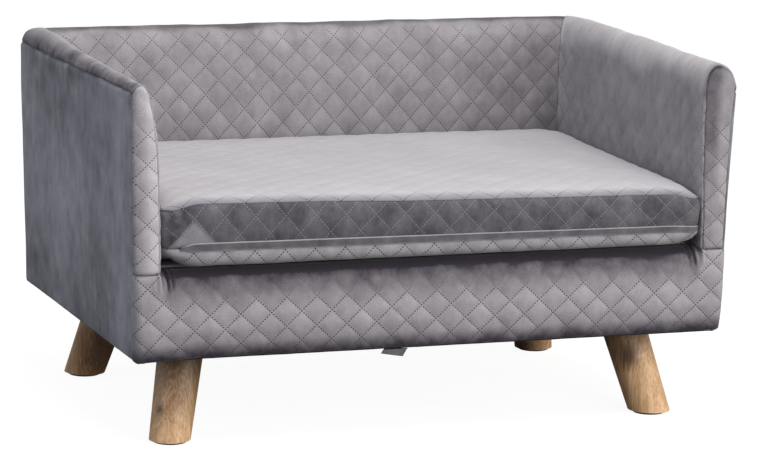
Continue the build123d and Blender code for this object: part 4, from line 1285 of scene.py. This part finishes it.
def strip_surface(u, v):
    """The strip: u runs along the cushion's front and v across the strip, narrow at its start."""
    share = np.clip(v / STRIP_HALF, -1, 1)
    narrowed = 0.35 + 0.65 * smooth((u - STRIP_START) / 16)
    out = 1.9 - 1.4 * np.abs(share) ** 6
    return off_rim(rim_point(u + FRONT_MIDDLE), out, PAD_STRIP + v * narrowed)


def strip_height(u, v, chart):
    folded_edges = 0.5 * np.exp(-(((np.abs(v) - STRIP_HALF + 0.9) / 0.6) ** 2))
    start = pucker(v * 3, u - STRIP_START, 0.9, reach=22, size=2.6, seed=95)
    return folded_edges + start + 0.3 * ripple(u, v, 18, 97)


def strip_edge_highlight(u, v):
    """Tone of the strip: a painted highlight along both folded edges."""
    return 1.5 * smooth((np.abs(v) - 2.8) / 0.8) - 0.2


strip = cloth("cushion_front_strip_velvet", (STRIP_START, STRIP_END), (-STRIP_HALF, STRIP_HALF),
              strip_surface, strip_height, velvet_boxing, body="cushion",
              pile_and_painted_light=strip_edge_highlight, cell=(2, 0.5), thickness=0.8)
dress(strip, "cushion_velvet", "cushion_front_strip", fill=0.9)

# %% [markdown]
# ## Wood, plastic and metal
# The legs are turned from pine and left natural under a thin matt lacquer, so the grain
# runs along them as fine darker streaks, with a knot here and there. Pine has an IOR of
# about 1.5 and looks warm because its late wood is orange. The hidden frame is of the
# same wood and of birch plywood, whose faces are calmer. A Wave texture would draw even
# rings, but real streaks wander, so a noise is stretched along the grain instead. It
# lies in the sofa's own space, and no two legs show the same streaks.


# %% Materials of the hard pieces
def wood(name, dark, light, grain, rough, along=(1, 1, 0.06), knots_and_shade=()):
    """Lacquered wood. grain is the streaks' width in millimetres; knots_and_shade lists places and
    sizes of dark knots and of spots of painted shade.
    """
    material, tree = new_material(name)
    place = add(tree, "TexCoord").outputs["Object"]
    drawn = add(tree, "Mapping", {"Vector": place, "Scale": along})
    streaks = {"Vector": drawn, "Scale": 1 / grain / MM, "Detail": 5.0, "Roughness": 0.6}
    streaks = add(tree, "TexNoise", streaks).outputs["Fac"]
    broad = add(tree, "TexNoise", {"Vector": drawn, "Scale": 1 / (grain * 5) / MM, "Detail": 3.0})
    mixed = add(tree, "Math", [streaks, 0.55], operation="MULTIPLY")
    mixed = add(tree, "Math", [broad, 0.45, mixed], operation="MULTIPLY_ADD")
    tone = add(tree, "MapRange", [mixed, 0.36, 0.66, 0.0, 1.0])
    colour = add(tree, "Mix", {0: tone, 6: linear(dark), 7: linear(light)}, data_type="RGBA")
    # Each spot darkens the wood towards one dark brown, used both for knots and for painted shade
    for spot, size in knots_and_shade:
        away = tuple(-length * MM for length in spot)
        away = add(tree, "VectorMath", {0: place, 1: away}, operation="ADD")
        away = add(tree, "VectorMath", {0: away, 1: (1, 1, 0.75)}, operation="MULTIPLY")
        away = add(tree, "VectorMath", [away], operation="LENGTH").outputs["Value"]
        away = add(tree, "Math", [streaks, size * 0.5 * MM, away], operation="MULTIPLY_ADD")
        near = [away, size * 0.55 * MM, size * 1.3 * MM, 0.85, 0.0]
        near = add(tree, "MapRange", near)
        knot_and_shade_tone = {0: near, 6: colour.outputs[2], 7: linear("#3c2010")}
        colour = add(tree, "Mix", knot_and_shade_tone, data_type="RGBA")
    bump = add(tree, "Bump", {"Strength": 0.25, "Distance": 0.2 * MM, "Height": streaks})
    finish = {"Base Color": colour.outputs[2], "Roughness": rough, "IOR": 1.5, "Normal": bump}
    add(tree, "OutputMaterial", [add(tree, "BsdfPrincipled", finish)])
    return material


def moulded(name, dark, light, rough, metallic=0.0, grain=0.6):
    """Plastic or plated metal: a mottle in colour and roughness, drawn coarser than real."""
    material, tree = new_material(name)
    place = add(tree, "TexCoord").outputs["Object"]
    mottle = add(tree, "TexNoise", {"Vector": place, "Scale": 1 / grain / MM, "Detail": 3.0})
    tone = add(tree, "Mix", {0: mottle, 6: linear(dark), 7: linear(light)}, data_type="RGBA")
    dull = add(tree, "MapRange", [mottle, 0.3, 0.7, rough - 0.06, rough + 0.06])
    bump = add(tree, "Bump", {"Strength": 0.2, "Distance": 0.05 * MM, "Height": mottle})
    finish = {"Base Color": tone.outputs[2], "Roughness": dull, "Metallic": metallic}
    add(tree, "OutputMaterial", [add(tree, "BsdfPrincipled", finish | {"Normal": bump})])
    return material


print("makers of hard finishes:", wood.__name__, moulded.__name__)

# %% [markdown]
# ## The hard pieces' finishes
# Every piece of wood, plastic and metal keeps the shape that it has in the CAD model and
# gets its finish by the ending of its name. They could be modelled anew, but turned legs
# and plain boards have nothing that a second model would add. The knots on the front
# legs lie where the photograph shows them.

# %% Paint the hard pieces
# Places in the sofa's millimetres and sizes: two real knots on the front legs, then larger spots of
# painted shade on the rear legs and at the legs' tops under the base
leg_knots_and_shade = (((-303.6, -181.8, 37), 7), ((263.5, -177.8, 68), 16), ((268, 171.5, 8), 42),
             ((-270, 140, 38), 74), ((-272, -158, 108), 80), ((265, -158, 108), 50))
# Late wood as orange streaks under a dull gleam
pine = wood("lacquered_pine", "#b9895a", "#f5cd9e", 1.8, 0.5, knots_and_shade=leg_knots_and_shade)
# Planed and bare: duller, with the grain along the rails
frame_pine = wood("planed_pine", "#b98f62", "#dcbb8c", 2.4, 0.7, along=(0.05, 1, 1))
# A calm, pale face veneer with broad figure
plywood = wood("birch_plywood", "#c09d70", "#dabf95", 3.0, 0.65, along=(0.08, 1, 1))
# Nearly black, with a soft gleam
black_plastic = moulded("moulded_polypropylene", "#161616", "#242424", 0.45)
# Cold and bright, as plated screws are
zinc = moulded("zinc_plated_steel", "#9a9ea3", "#c9ccd0", 0.32, metallic=1.0)
# Grey like the velvet beside it, the coil glossier than its tape
zip_nylon = moulded("nylon_zip_coil", "#5c5a60", "#7a787e", 0.4)
# The same grey as a dull, fine weave
zip_tape = plain_cloth("woven_zip_tape", "#5e5b61", "#77747a", 0.9, 0.85)
finishes = {
    "leg": pine, "glide": black_plastic, "side_panel": plywood, "back_panel": plywood,
    "deck_board": plywood, "rail": frame_pine, "batten": frame_pine, "corner_block": frame_pine,
    "screws": zinc, "nuts": zinc, "bolts": zinc, "slider": zinc, "chain": zip_nylon,
    "tape": zip_tape,
}
painted = 0
for name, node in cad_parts.items():
    for ending, material in finishes.items():
        if name.endswith(ending):
            node.data.materials.clear()
            node.data.materials.append(material)
            painted += 1
print("CAD nodes with a finish of their own:", painted)
